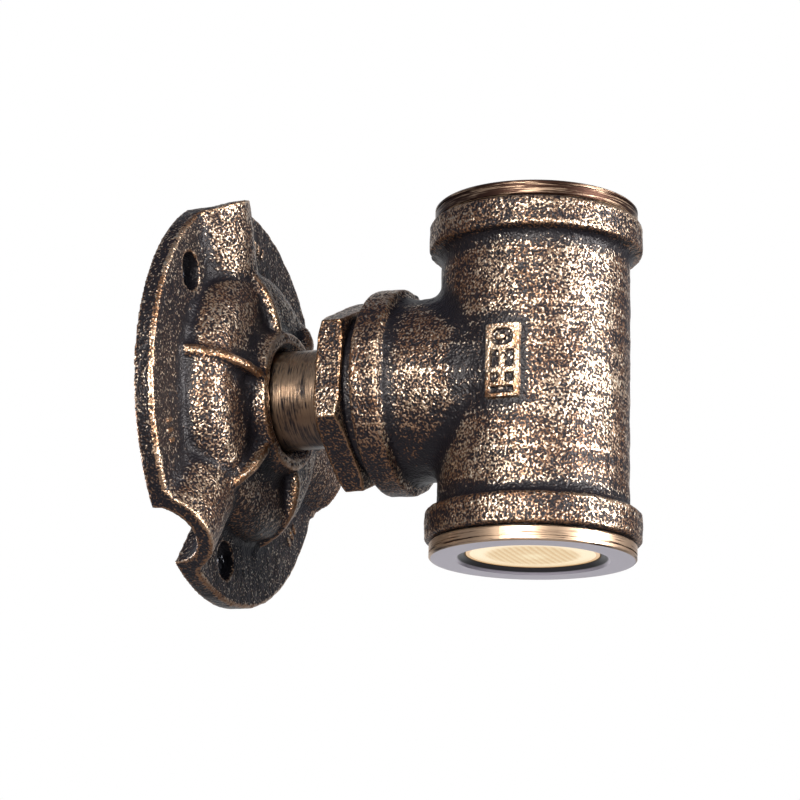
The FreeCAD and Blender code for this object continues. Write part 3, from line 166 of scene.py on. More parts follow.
class WALLLIGHT_PG_finish(bpy.types.PropertyGroup):
    """Colours of the visible finishes."""
    paint: colour("#141218", "Base Paint", "Near-black paint in the casting's grain")
    rust: colour("#3a2720", "Brown Glaze", "Warm brown between paint and metal")
    # copper also colours what faces down, as a painted warm reflection, and the pipe's lower half,
    # as painted shade.
    copper: colour("#8e6c52", "Rubbed Copper", "Copper powder rubbed on the raised grain")
    rub: colour("#b69d86", "Rubbed Gold", "Gold powder rubbed on the raised grain")
    rub_bright: colour("#d6ccbc", "Bright Metal", "Polished metal on the edges")
    ring: colour("#cac4cf", "Turned Ring", "Machined face of the retaining rings")
    glow: colour("#cda573", "Lamp Glow", "Warm light in the lenses")
    glow_middle: colour("#f1e0ba", "Lamp Glow Middle", "Paler light in the middle of the lenses")
    glow_strength: share(1.0, "Glow Strength", "Strength of the light in the lenses", 4.0)


class WALLLIGHT_PG_stage(bpy.types.PropertyGroup):
    """Light and backdrop."""
    backdrop: colour("#ffffff", "Backdrop", "Colour of the backdrop")
    studio: colour("#c3cbe2", "Studio", "Colour of the dim studio round the object")
    floor: colour("#e9e8ea", "Floor", "Colour of the floor")
    key_power: power(2.7, "Key Light", "Power of the large soft light")
    front_power: power(2.15, "Front Light", "Power of the soft light by the camera")
    back_power: power(1.0, "Back Light", "Power of the soft light behind the wall")


def add(tree, kind, inputs=None, out=0, **settings):
    """Adds a shader node with its settings and gives its output with the number or name out.

    Each input takes a value or an output of another node.
    """
    node = tree.nodes.new("ShaderNode" + kind)
    for name, value in settings.items():
        setattr(node, name, value)
    for name, value in (inputs or {}).items():
        socket = node.inputs[name]
        if isinstance(value, bpy.types.NodeSocket):
            tree.links.new(value, socket)
        elif socket.type == "RGBA":
            socket.default_value = [*value[:3], 1.0]
        else:
            socket.default_value = value
    return None if out is None else node.outputs[out]


def new_material(name):
    """An empty material and its tree."""
    material = bpy.data.materials.new(name)
    material.use_nodes = True
    material.node_tree.nodes.clear()
    return material, material.node_tree


def surfaced(tree, inputs):
    """Ends a material with a Principled shader that has the given inputs."""
    add(tree, "OutputMaterial", {"Surface": add(tree, "BsdfPrincipled", inputs)}, out=None)


def painted_casting(name, finish, cover=-0.06, along=1.0, edge=0.5, brushed=0.4):
    """Sand-cast iron under near-black paint, rubbed by hand with copper and gold powder.

    The eye sees grains of 0.57 mm and pits of 0.9 mm, black inside and glinting on the ridges
    between them. There is metal on edges and crests. The roots are darker, partly paint that the
    cloth missed and partly painted shade. What faces down is darker as painted shade and turns
    copper as a painted warm reflection. The cloth left patches of 12 mm and strokes of 1.5 mm,
    longer by the factor along.
    cover is how much metal shows everywhere, edge how much more on edges, and brushed how clear
    the strokes are.
    """
    grain_size, pit_size, patch_size, stroke_size = 0.57 * MM, 0.9 * MM, 12 * MM, 1.5 * MM
    noise_mean = 0.62  # what grain, pits and patches give on average below
    material, tree = new_material(name)
    place = add(tree, "TexCoord", out="Object")
    grain = add(tree, "TexNoise", {"Vector": place, "Scale": 1 / grain_size, "Detail": 0.5,
                                   "Roughness": 0.5})
    net = add(tree, "TexNoise", {"Vector": place, "Scale": 1 / pit_size, "Detail": 0.5})
    net = add(tree, "Math", {0: net, 1: 0.5}, operation="SUBTRACT")
    pit = add(tree, "Math", {0: net}, operation="ABSOLUTE")
    patch = add(tree, "TexNoise", {"Vector": place, "Scale": 1 / patch_size, "Detail": 2.0,
                                   "Roughness": 0.6})
    turned = add(tree, "Mapping", {"Vector": place, "Scale": (1 / along, 1 / along, 1.0)})
    stroke = add(tree, "TexNoise", {"Vector": turned, "Scale": 1 / stroke_size, "Detail": 2.0})
    wear = add(tree, "Attribute", out="Fac", attribute_name="wear")
    hollow = add(tree, "Attribute", out="Fac", attribute_name="hollow")
    under = add(tree, "Attribute", out="Fac", attribute_name="under")
    height = add(tree, "Math", {0: grain, 1: 1.3, 2: cover - noise_mean - brushed / 2},
                 operation="MULTIPLY_ADD")
    for socket, weight in ((pit, -1.8), (patch, 0.2), (stroke, brushed)):
        height = add(tree, "Math", {0: socket, 1: weight, 2: height}, operation="MULTIPLY_ADD")
    level = add(tree, "Math", {0: wear, 1: edge, 2: height}, operation="MULTIPLY_ADD")
    # Painted shade: hollow darkens the roots, the holes and what faces down; in the roots it is
    # also paint that the cloth missed.
    level = add(tree, "Math", {0: hollow, 1: -0.5, 2: level}, operation="MULTIPLY_ADD")
    metal = add(tree, "MapRange", {"Value": level, "From Min": -0.15, "From Max": 0.15},
                interpolation_type="SMOOTHSTEP")
    glaze = add(tree, "MapRange", {"Value": level, "From Min": -0.3, "From Max": -0.05},
                interpolation_type="SMOOTHSTEP")
    polish = add(tree, "MapRange", {"Value": height, "From Min": 0.02, "From Max": 0.3},
                 interpolation_type="SMOOTHSTEP")
    tint = add(tree, "MapRange", {"Value": patch, "From Min": 0.42, "From Max": 0.58},
               interpolation_type="SMOOTHSTEP")
    dark = add(tree, "Mix", {0: glaze, 6: finish.paint, 7: finish.rust}, out=2, data_type="RGBA")
    gold = add(tree, "Mix", {0: tint, 6: finish.copper, 7: finish.rub}, out=2, data_type="RGBA")
    bright = add(tree, "Mix", {0: polish, 6: gold, 7: finish.rub_bright}, out=2, data_type="RGBA")
    # Painted warm reflection: what faces down turns copper.
    bright = add(tree, "Mix", {0: under, 6: bright, 7: finish.copper}, out=2, data_type="RGBA")
    relief = add(tree, "Math", {0: pit, 1: -1.5, 2: grain}, operation="MULTIPLY_ADD")
    surfaced(tree, {
        "Base Color": add(tree, "Mix", {0: metal, 6: dark, 7: bright}, out=2, data_type="RGBA"),
        "Metallic": add(tree, "MapRange", {"Value": metal, "To Min": 0.35, "To Max": 1.0}),
        "Roughness": add(tree, "MapRange", {"Value": metal, "To Min": 0.45, "To Max": 0.38}),
        "Specular IOR Level": 0.4,
        "Normal": add(tree, "Bump", {"Height": relief, "Strength": 1.0, "Distance": 0.2 * MM}),
    })
    return material


def turned_pipe(name, finish):
    """Steel pipe turned in a lathe, painted and rubbed.

    The eye sees lines of 0.35 mm round the pipe, 14 times as long, bright in patches of 4 mm.
    Its upper half is lit gold and its lower half shaded brown, as painted light and shade.
    """
    line_size, line_stretch, patch_size = 0.35 * MM, 14, 4 * MM
    low, high = -7 * MM, 1 * MM
    material, tree = new_material(name)
    place = add(tree, "TexCoord", out="Object")
    flat = add(tree, "Mapping", {"Vector": place,
                                 "Scale": (1 / line_stretch, 1.0, 1 / line_stretch)})
    rings = add(tree, "TexNoise", {"Vector": flat, "Scale": 1 / line_size, "Detail": 2.0,
                                   "Roughness": 0.6})
    patch = add(tree, "TexNoise", {"Vector": place, "Scale": 1 / patch_size, "Detail": 3.0})
    level = add(tree, "Math", {0: patch, 1: 1.0, 2: -1.08}, operation="MULTIPLY_ADD")
    level = add(tree, "Math", {0: rings, 1: 1.3, 2: level}, operation="MULTIPLY_ADD")
    metal = add(tree, "MapRange", {"Value": level, "From Min": -0.2, "From Max": 0.2},
                interpolation_type="SMOOTHSTEP")
    height = add(tree, "SeparateXYZ", {0: place}, out=2)
    # Painted light and shade: the pipe is lighter and gold towards its top, darker and brown below.
    painted_top_light = add(tree, "MapRange", {"Value": height, "From Min": low, "From Max": high,
                                     "To Min": 0.35})
    metal = add(tree, "Math", {0: metal, 1: painted_top_light}, operation="MULTIPLY")
    gold = add(tree, "Mix", {0: painted_top_light, 6: finish.copper, 7: finish.rub}, out=2, data_type="RGBA")
    surfaced(tree, {
        "Base Color": add(tree, "Mix", {0: metal, 6: finish.paint, 7: gold}, out=2,
                          data_type="RGBA"),
        "Metallic": add(tree, "MapRange", {"Value": metal, "To Min": 0.5, "To Max": 1.0}),
        "Roughness": 0.3,
        "Normal": add(tree, "Bump", {"Height": rings, "Strength": 0.7, "Distance": 0.1 * MM}),
    })
    return material


def turned_ring(name, finish):
    """Machined bronze ring, browned and rubbed.

    The eye sees the tool's circles of 0.3 mm on its grey face, dark and bright lines of 0.42 mm
    round its side, 28 times as long and brighter on the lower ring, and black paint inside.
    """
    circle_size, line_size, line_stretch = 0.3 * MM, 0.42 * MM, 28
    side_low, side_high = 23.7 * MM, 24.0 * MM
    opening_low, opening_high = 17.3 * MM, 17.75 * MM
    material, tree = new_material(name)
    place = add(tree, "TexCoord", out="Object")
    centred = add(tree, "Mapping", {"Vector": place, "Location": (0.0, -RUN_AXIS * MM, 0.0)})
    flat = add(tree, "VectorMath", {0: centred, 1: (1.0, 1.0, 0.0)}, operation="MULTIPLY")
    radius = add(tree, "VectorMath", {0: flat}, out="Value", operation="LENGTH")
    height = add(tree, "SeparateXYZ", {0: centred}, out=2)
    section = add(tree, "CombineXYZ", {0: radius, 1: height})
    lines = add(tree, "TexNoise", {"Vector": section, "Scale": 1 / circle_size, "Detail": 3.0,
                                   "Roughness": 0.6})
    around = add(tree, "Mapping", {"Vector": place,
                                   "Scale": (1 / line_stretch, 1 / line_stretch, 1.0)})
    streak = add(tree, "TexNoise", {"Vector": around, "Scale": 1 / line_size, "Detail": 3.0,
                                    "Roughness": 0.65})
    side = add(tree, "MapRange", {"Value": radius, "From Min": side_low, "From Max": side_high},
               interpolation_type="SMOOTHSTEP")
    outside = add(tree, "MapRange", {"Value": radius, "From Min": opening_low,
                                     "From Max": opening_high},
                  interpolation_type="SMOOTHSTEP")
    # The side is gold on the lower ring and brown on the upper ring, set by height, with streaks.
    lower = add(tree, "Math", {0: height, 1: -1.9, 2: streak}, operation="MULTIPLY_ADD")
    rubbed = add(tree, "MapRange", {"Value": lower, "From Min": 0.42, "From Max": 0.56},
                 interpolation_type="SMOOTHSTEP")
    side_tone = add(tree, "Mix", {0: rubbed, 6: finish.rust, 7: finish.rub}, out=2,
                    data_type="RGBA")
    face = add(tree, "Mix", {0: side, 6: finish.ring, 7: side_tone}, out=2, data_type="RGBA")
    surfaced(tree, {
        "Base Color": add(tree, "Mix", {0: outside, 6: finish.paint, 7: face}, out=2,
                          data_type="RGBA"),
        "Metallic": add(tree, "MapRange", {"Value": outside, "To Min": 0.2, "To Max": 0.9}),
        "Roughness": add(tree, "MapRange", {"Value": lines, "To Min": 0.3, "To Max": 0.46}),
        "Normal": add(tree, "Bump", {"Height": lines, "Strength": 0.3, "Distance": 0.08 * MM}),
    })
    return material


def lit_lens(name, finish):
    """Clear acrylic lens over a warm light source, seen lit.

    The eye sees it cream all over, with a fine hatch of beads inside.
    """
    material, tree = new_material(name)
    bead = add(tree, "Attribute", out="Fac", attribute_name="wear")
    surfaced(tree, {
        "Base Color": linear("#6b6252"),
        "Roughness": 0.25,
        "IOR": 1.49,
        "Emission Color": add(tree, "Mix", {0: bead, 6: finish.glow, 7: finish.glow_middle},
                              out=2, data_type="RGBA"),
        "Emission Strength": finish.glow_strength,
    })
    return material


def moulded(name, code, rough, metallic=0.0):
    """A moulded, plated or insulated inner piece.

    The eye sees one colour with mottling of 2 mm and a fine texture of 0.4 mm.
    """
    mottle_size, grain_size = 2 * MM, 0.4 * MM
    material, tree = new_material(name)
    place = add(tree, "TexCoord", out="Object")
    mottle = add(tree, "TexNoise", {"Vector": place, "Scale": 1 / mottle_size, "Detail": 3.0})
    grain = add(tree, "TexNoise", {"Vector": place, "Scale": 1 / grain_size, "Detail": 1.0})
    base = linear(code)
    shade = [part * 0.75 for part in base]
    surfaced(tree, {
        "Base Color": add(tree, "Mix", {0: mottle, 6: shade, 7: base}, out=2, data_type="RGBA"),
        "Metallic": metallic,
        "Roughness": add(tree, "MapRange", {"Value": mottle, "To Min": rough - 0.08,
                                            "To Max": rough + 0.08}),
        "Normal": add(tree, "Bump", {"Height": grain, "Strength": 0.1, "Distance": 0.05 * MM}),
    })
    return material


def coated(item, material):
    """Gives a whole piece one material."""
    item.data.materials.clear()
    item.data.materials.append(material)


def new_piece(name, mesh, body, material, nodes=()):
    """A named piece that rides on a body, has the given material and stands for the nodes, which it
    hides.
    """
    item = bpy.data.objects.new(name, mesh)
    bpy.context.scene.collection.objects.link(item)
    coated(item, material)
    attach(item, body)
    if nodes:
        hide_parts(*nodes)
    return item


def merged_copy(node):
    """The node's surface as one closed mesh: a copy with its loose triangles joined."""
    mesh = NODES[node].data.copy()
    work = bmesh.new()
    work.from_mesh(mesh)
    bmesh.ops.remove_doubles(work, verts=work.verts, dist=0.0005 * MM)
    work.to_mesh(mesh)
    work.free()
    return mesh


def even_mesh(node, pitch):
    """The node's surface meshed again with even faces of the given pitch.

    The faces' corners lie on the node's surface.
    """
    solid = bpy.data.objects.new("solid", merged_copy(node))
    item = bpy.data.objects.new("even_mesh", solid.data.copy())
    for part in (solid, item):
        bpy.context.scene.collection.objects.link(part)
    remesh = item.modifiers.new("Even Faces", "REMESH")
    remesh.mode = "VOXEL"
    remesh.voxel_size = pitch
    wrap = item.modifiers.new("On the Surface", "SHRINKWRAP")
    wrap.target = solid
    graph = bpy.context.evaluated_depsgraph_get()
    mesh = bpy.data.meshes.new_from_object(item.evaluated_get(graph))
    for part in (solid, item):
        bpy.data.objects.remove(part)
    return mesh


def arrays(mesh):
    """Places, normals and edges of a mesh as arrays; places in millimetres."""
    places = np.empty(len(mesh.vertices) * 3)
    mesh.vertices.foreach_get("co", places)
    normals = np.empty(len(mesh.vertices) * 3)
    mesh.vertex_normals.foreach_get("vector", normals)
    edges = np.empty(len(mesh.edges) * 2, np.int64)
    mesh.edges.foreach_get("vertices", edges)
    return places.reshape(-1, 3) / MM, normals.reshape(-1, 3), edges.reshape(-1, 2)


def neighbour_mean(values, edges):
    """For each vertex the mean of its neighbours' values."""
    count = len(values)
    first, second = edges.T
    degree = np.bincount(first, minlength=count) + np.bincount(second, minlength=count)
    total = [np.bincount(first, values[second, axis], count)
             + np.bincount(second, values[first, axis], count)
             for axis in range(values.shape[1])]
    return np.stack(total, 1) / degree[:, None]


def sand_waves(places, seed, least=3.0, most=11.0, count=28):
    """Sum of sine waves in random directions, from least to most millimetres long.

    The sum of sin(k . p + start) is divided by the root of half their number: its spread is 1.
    """
    chance = np.random.default_rng(seed)
    ways = chance.normal(size=(count, 3))
    ways /= np.linalg.norm(ways, axis=1)[:, None]
    turns = 2 * np.pi / chance.uniform(least, most, count)
    starts = chance.uniform(0, 2 * np.pi, count)
    return np.sin(places @ (ways * turns[:, None]).T + starts).sum(1) / math.sqrt(count / 2)


def cast_skin(mesh, cast, darkening, seed, swell, fill=10, reach=64):
    """Turns an even mesh into a casting.

    Each vertex p with the normal n moves by ((m - p) . n) n, m being its neighbours' mean, where
    that is outwards, fill times: the roots fill with round fillets and the edges stay. Then it
    moves along n by the sand's waves. cast(places) is 1 on cast and 0 on machined surfaces, which
    stay. Three values are kept on the vertices. wear is the height over the mean surface close
    by. under is how far the surface faces down; the finish uses it for painted shade and a
    painted warm reflection there. hollow is the depth under the mean surface of reach steps
    around, what darkening(places, normals) gives or a part of under, whichever is most; it
    darkens the finish, as painted shade in the roots and holes and under things, and in the
    roots also as paint that the cloth missed.
    """
    places, normals, edges = arrays(mesh)
    free = cast(places)[:, None]
    for _ in range(fill):
        move = neighbour_mean(places, edges) - places
        places += free * np.clip((move * normals).sum(1), 0, None)[:, None] * normals
    near = places
    for _ in range(5):
        near = neighbour_mean(near, edges)
    far = near
    for _ in range(reach):
        far = neighbour_mean(far, edges)
    wear = step(((places - near) * normals).sum(1), 0.06, 0.14)
    # Painted shade in the roots, with paint that the cloth missed: how far the surface sinks under
    # its mean.
    hollow = np.maximum(step(((far - places) * normals).sum(1), 0.0, 0.6), darkening(places, normals))
    under = step(-normals[:, 2], 0.1, 0.8)
    # Painted shade under things: what faces down is darkened.
    hollow = np.maximum(hollow, 0.3 * under)
    waves = sand_waves(places, seed) + 0.5 * sand_waves(places, seed + 10, 1.6, 3.0, 60)
    waves = swell / MM * waves
    places += free * waves[:, None] * normals
    mesh.vertices.foreach_set("co", (places * MM).ravel())
    store(mesh, wear, hollow, under)
    mesh.shade_smooth()
    mesh.update()
    return mesh


def store(mesh, wear, hollow, under):
    """Keeps how worn and how hollow the surface is, and how far it faces down, on the vertices."""
    for name, values in (("wear", wear), ("hollow", hollow), ("under", under)):
        mesh.attributes.new(name, "FLOAT", "POINT").data.foreach_set("value", values.ravel())


def slab(name, top, bottom, worn=0.0):
    """A closed mesh from two grids of points in millimetres, joined round their edges.

    Both grids have the same shape. Rows, columns and the way out of the top grid follow each
    other like x, y and z. worn is 1 on the raised and 0 on the sunk points of the top grid, and
    is kept on the vertices. The sunk points are kept as hollow, which darkens them as painted
    shade in the recesses and as paint that the cloth missed.
    """
    rows, columns = top.shape[:2]
    points = np.concatenate([top.reshape(-1, 3), bottom.reshape(-1, 3)]) * MM
    down = rows * columns
    grid = np.arange(down).reshape(rows, columns)
    below = grid + down
    face = np.stack([grid[:-1, :-1], grid[1:, :-1], grid[1:, 1:], grid[:-1, 1:]], -1)
    back = np.stack([below[:-1, :-1], below[:-1, 1:], below[1:, 1:], below[1:, :-1]], -1)
    loop = np.concatenate([grid[0, :-1], grid[:-1, -1], grid[-1, :0:-1], grid[:0:-1, 0]])
    after = np.roll(loop, -1)
    wall = np.stack([loop, after, after + down, loop + down], -1)
    faces = np.concatenate([face.reshape(-1, 4), back.reshape(-1, 4), wall])
    mesh = bpy.data.meshes.new(name)
    mesh.from_pydata(points.tolist(), [], faces.tolist())
    raised = np.concatenate([(worn + np.zeros((rows, columns))).ravel(), np.zeros(down)])
    # Painted shade in the recesses: 0.6 of hollow on the sunk points.
    store(mesh, raised, 0.6 * (1 - raised), 0 * raised)
    mesh.shade_smooth()
    mesh.update()
    return mesh


def step(values, low, high):
    """0 under low, 1 over high and a smooth rise between them."""
    way = np.clip((values - low) / (high - low), 0, 1)
    return way * way * (3 - 2 * way)


def flange_is_cast(places):
    """1 on the flange's cast front and hollow, 0 on its flat back and in the nipple's bore."""
    off_back = step(-places[:, 1], 0.3, 1.6)
    off_bore = step(np.hypot(places[:, 0], places[:, 2]), 12.9, 13.8)
    return off_back * off_bore


def tee_is_cast(places):
    """1 on the tee's outside, 0 on its faces and inside."""
    run = np.hypot(places[:, 0], places[:, 1] - RUN_AXIS)
    branch = np.hypot(places[:, 0], places[:, 2])
    on_run = step(run, 20.6, 21.4)
    on_branch = step(branch, 20.3, 20.9) * (places[:, 1] > RUN_AXIS + 15)
    off_run_faces = step(RUN_HALF_LENGTH - abs(places[:, 2]), 0.1, 0.9)
    off_branch_face = step(BRANCH_FACE - places[:, 1], 0.1, 0.9)
    return np.maximum(on_run, on_branch) * (off_run_faces * off_branch_face)


def bushing_is_cast(places):
    """1 on the hexagon, 0 on the thread and in the bores."""
    return step(np.hypot(places[:, 0], places[:, 2]), 19.7, 20.3)


def flange_darkening(places, normals):
    """1 in the flange's screw holes, as painted shade, and behind it, where its finish is darker.

    It is less on its plate and rim.
    """
    radius = np.hypot(places[:, 0], places[:, 2])
    rim = 0.5 * step(radius, 48.9, 49.5) * step(-abs(normals[:, 1]), -0.8, -0.5)
    plate = 0.42 * step(places[:, 1], -PLATE_THICKNESS - 0.9, -PLATE_THICKNESS - 0.2)
    back = step(normals[:, 1], 0.2, 0.6)
    darkening = np.maximum(np.maximum(rim, plate), back)
    for angle in SCREW_ANGLES:
        x = SCREW_CIRCLE * math.cos(math.radians(angle))
        z = SCREW_CIRCLE * math.sin(math.radians(angle))
        # Painted shade inside the screw hole.
        hole = step(-np.hypot(places[:, 0] - x, places[:, 2] - z), -5.2, -4.9)
        darkening = np.maximum(darkening, hole * step(places[:, 1], -5.0, -4.5))
    return darkening


def no_darkening(places, normals):
    """0 everywhere."""
    return np.zeros(len(places))


def box_distance(u, v, half_u, half_v, corner):
    """Distance from a box with round corners centred on 0, negative inside.

    With a = |u| - half_u + corner and b = |v| - half_v + corner, it is the hypotenuse of a and b
    outside and the larger of them inside, less the corner.
    """
    out_u, out_v = abs(u) - half_u + corner, abs(v) - half_v + corner
    outside = np.hypot(np.maximum(out_u, 0), np.maximum(out_v, 0))
    return outside + np.minimum(np.maximum(out_u, out_v), 0) - corner


def panel_relief(u, v):
    """Relief of the cast panel, 0 in its windows and 1 on its bars.

    Windows are boxes with round corners cut out of a plate: an oval with a stud at the top, two
    pairs in the middle and a narrow one at the bottom.
    """
    depth = np.min([box_distance(u - x, v - z, half_x, half_z, corner)
                    for x, z, half_x, half_z, corner in PANEL_WINDOWS], axis=0)
    stud = step(-box_distance(u - 0.3, v - 5.5, 1.0, 0.55, 0.5), -0.3, 0.1)
    return np.maximum(step(depth, -0.25, 0.25), stud)


def panel_shade(places, normals):
    """Painted shade on the tee: 1 round the cast panel.

    It is less from the panel to the branch.
    """
    across, along = places[:, 1] - RUN_AXIS - PANEL_ACROSS, places[:, 2] - PANEL_ALONG
    panel = box_distance(across, along, PANEL_HALF_WIDTH, PANEL_HALF_HEIGHT, PANEL_CORNER)
    # Painted shade round the panel, and a weaker strip of it from the panel to the branch.
    close = step(-panel, -1.8, -0.4)
    strip = step(-box_distance(across - 4.0, along, 8.3, 11.0, 4.0), -2.5, 0.5)
    return np.maximum(close, 0.6 * strip) * step(-places[:, 0], 12.0, 18.0)


def plaque(height):
    """The cast panel on the tee's side, draped on the run.

    A point u across and v along lies on the cylinder at angle u / R and height v, and stands out
    by the relief.
    """
    across, along = np.meshgrid(np.linspace(4.4, -4.4, 96), np.linspace(-9.2, 9.2, 196),
                                indexing="ij")
    panel = box_distance(across, along, PANEL_HALF_WIDTH, PANEL_HALF_HEIGHT, PANEL_CORNER)
    edge = step(-panel, 0.0, 0.5)
    raised = panel_relief(across, along)
    relief = (0.25 + 0.75 * raised) * edge * height / MM

    def drape(lift):
        angle = (across + PANEL_ACROSS) / RUN_BODY_RADIUS
        radius = RUN_BODY_RADIUS + lift
        return np.stack([-radius * np.cos(angle), RUN_AXIS + radius * np.sin(angle),
                         along + PANEL_ALONG], -1)

    wave = 0.04 * sand_waves(drape(0 * across).reshape(-1, 3), 5, 1.5, 4.0).reshape(across.shape)
    return slab("cast_panel", drape(relief + wave - 0.1), drape(0 * relief - SLAB_SINK), raised)


def cast_mark(number, angle, height):
    """Three raised bars side by side on the flange's plate, at the given angle round the nipple.

    With u along the bars' row and v along the bars, the relief is the product of a smooth step
    from each bar's side, |u / pitch mod 1 - 1/2|, and one from its ends.
    """
    u, v = np.meshgrid(np.linspace(MARK_HALF_LENGTH, -MARK_HALF_LENGTH, 61),
                       np.linspace(-MARK_HALF_WIDTH, MARK_HALF_WIDTH, 33), indexing="ij")
    phase = np.abs((u + MARK_HALF_LENGTH) / MARK_BAR_PITCH % 1.0 - 0.5) * 2
    ends = step(MARK_HALF_WIDTH - abs(v), 0.15, 0.6)
    relief = step(1 - phase, 0.35, 0.7) * ends * height / MM
    turn = math.radians(angle)
    out = np.array([math.cos(turn), 0, math.sin(turn)])
    side = np.array([-math.sin(turn), 0, math.cos(turn)])
    spot = MARK_CIRCLE * out + u[..., None] * side + v[..., None] * out

    def lifted(lift):
        return spot + np.array([0, -1, 0]) * (PLATE_THICKNESS + lift)[..., None]

    return slab(f"cast_mark_{number}", lifted(relief - 0.12), lifted(0 * relief - SLAB_SINK),
                relief * MM / height)


def bead_lens(name, side):
    """Face of a lens: a shallow dome with small beads in its middle.

    A square grid (s, t) is drawn onto the disc by x = R s sqrt(1 - t^2 / 2) and
    y = R t sqrt(1 - s^2 / 2). The height is H (1 - (r / R)^2) plus the beads,
    sin(h x + k y) sin(h x - k y), which end at their field's radius. side is -1 for the lower and
    1 for the upper lens.
    """
    s, t = np.meshgrid(np.linspace(-side, side, 201), np.linspace(-1, 1, 201), indexing="ij")
    x = LENS_WINDOW_RADIUS * s * np.sqrt(1 - t * t / 2)
    y = LENS_WINDOW_RADIUS * t * np.sqrt(1 - s * s / 2)
    radius = np.hypot(x, y)
    middle = step(-radius, -BEAD_FIELD, -9.0)
    wave_x, wave_y = x / BEAD_PITCH_ACROSS, y / BEAD_PITCH_ALONG
    beads = np.sin(2 * np.pi * (wave_x + wave_y)) * np.sin(2 * np.pi * (wave_x - wave_y)) * middle
    lift = LENS_DOME_HEIGHT * (1 - (radius / LENS_WINDOW_RADIUS) ** 2) + BEAD_HEIGHT * beads
    shine = np.clip(0.72 - 0.3 * middle + 0.45 * beads + 0.45 * step(-radius, -5.0, 0.0), 0, 1)
    top = np.stack([x, RUN_AXIS + y, side * (LENS_FACE + lift - 0.05)], -1)
    bottom = np.stack([x, RUN_AXIS + y, side * (LENS_FACE - 0.4 + 0 * lift)], -1)
    return slab(name, top, bottom, shine)


def finish_of(context):
    """The scene's colour settings."""
    return context.scene.wall_light_finish


class WALLLIGHT_OT_flange(bpy.types.Operator):
    """Make the cast skin of the wall flange and its cast marks"""
    bl_idname = "wall_light.flange"
    bl_label = "Wall Flange"

    def execute(self, context):
        sizes = context.scene.wall_light_castings
        material = painted_casting("sand_cast_iron_painted_rubbed", finish_of(context))
        skin = cast_skin(even_mesh("wall_flange", sizes.flange_pitch), flange_is_cast,
                         flange_darkening, seed=1, swell=sizes.swell)
        new_piece("flange_casting", skin, "wall_body", material, ["wall_flange"])
        for number, angle in enumerate(MARK_ANGLES, start=1):
            new_piece(f"flange_mark_{number}", cast_mark(number, angle, sizes.mark_height),
                      "wall_body", material)
        return {"FINISHED"}


class WALLLIGHT_OT_pipework(bpy.types.Operator):
    """Make the hex bushing's skin and finish the pipe nipple"""
    bl_idname = "wall_light.pipework"
    bl_label = "Nipple and Bushing"

    def execute(self, context):
        sizes = context.scene.wall_light_castings
        finish = finish_of(context)
        coated(NODES["pipe_nipple"], turned_pipe("turned_pipe_painted_rubbed", finish))
        material = painted_casting("sand_cast_iron_hexagon", finish, cover=-0.1, edge=0.7)
        skin = cast_skin(even_mesh("hex_bushing", sizes.bushing_pitch), bushing_is_cast,
                         no_darkening, seed=2, swell=sizes.swell * 0.5, fill=4)
        new_piece("bushing_casting", skin, "head", material, ["hex_bushing"])
        return {"FINISHED"}


class WALLLIGHT_OT_tee(bpy.types.Operator):
    """Make the cast skin of the banded tee and the panel on its side"""
    bl_idname = "wall_light.tee"
    bl_label = "Tee Fitting"

    def execute(self, context):
        sizes = context.scene.wall_light_castings
        finish = finish_of(context)
        material = painted_casting("sand_cast_iron_brushed_round", finish, cover=-0.06,
                                   along=12.0, edge=0.12, brushed=0.8)
        skin = cast_skin(even_mesh("tee_fitting", sizes.tee_pitch), tee_is_cast, panel_shade,
                         seed=3, swell=sizes.swell, reach=120)
        new_piece("tee_casting", skin, "head", material, ["tee_fitting"])
        material = painted_casting("sand_cast_iron_raised_panel", finish, cover=0.0, edge=0.4)
        new_piece("tee_panel", plaque(sizes.plaque_height), "head", material)
        return {"FINISHED"}


class WALLLIGHT_OT_lamps(bpy.types.Operator):
    """Finish the retaining rings, the gaskets and the lit lenses"""
    bl_idname = "wall_light.lamps"
    bl_label = "Rings and Lenses"

    def execute(self, context):
        finish = finish_of(context)
        ring = turned_ring("machined_bronze_ring", finish)
        lens = lit_lens("acrylic_lens_lit", finish)
        rubber = moulded("silicone_gasket", "#141414", 0.6)
        for end, side in (("lower", -1), ("upper", 1)):
            coated(NODES[f"{end}_retaining_ring"], ring)
            coated(NODES[f"{end}_lens"], lens)
            coated(NODES[f"{end}_lens_gasket"], rubber)
            new_piece(f"{end}_lens_beads", bead_lens(f"{end}_lens_beads", side),
                      f"{end}_lens_body", lens)
        return {"FINISHED"}


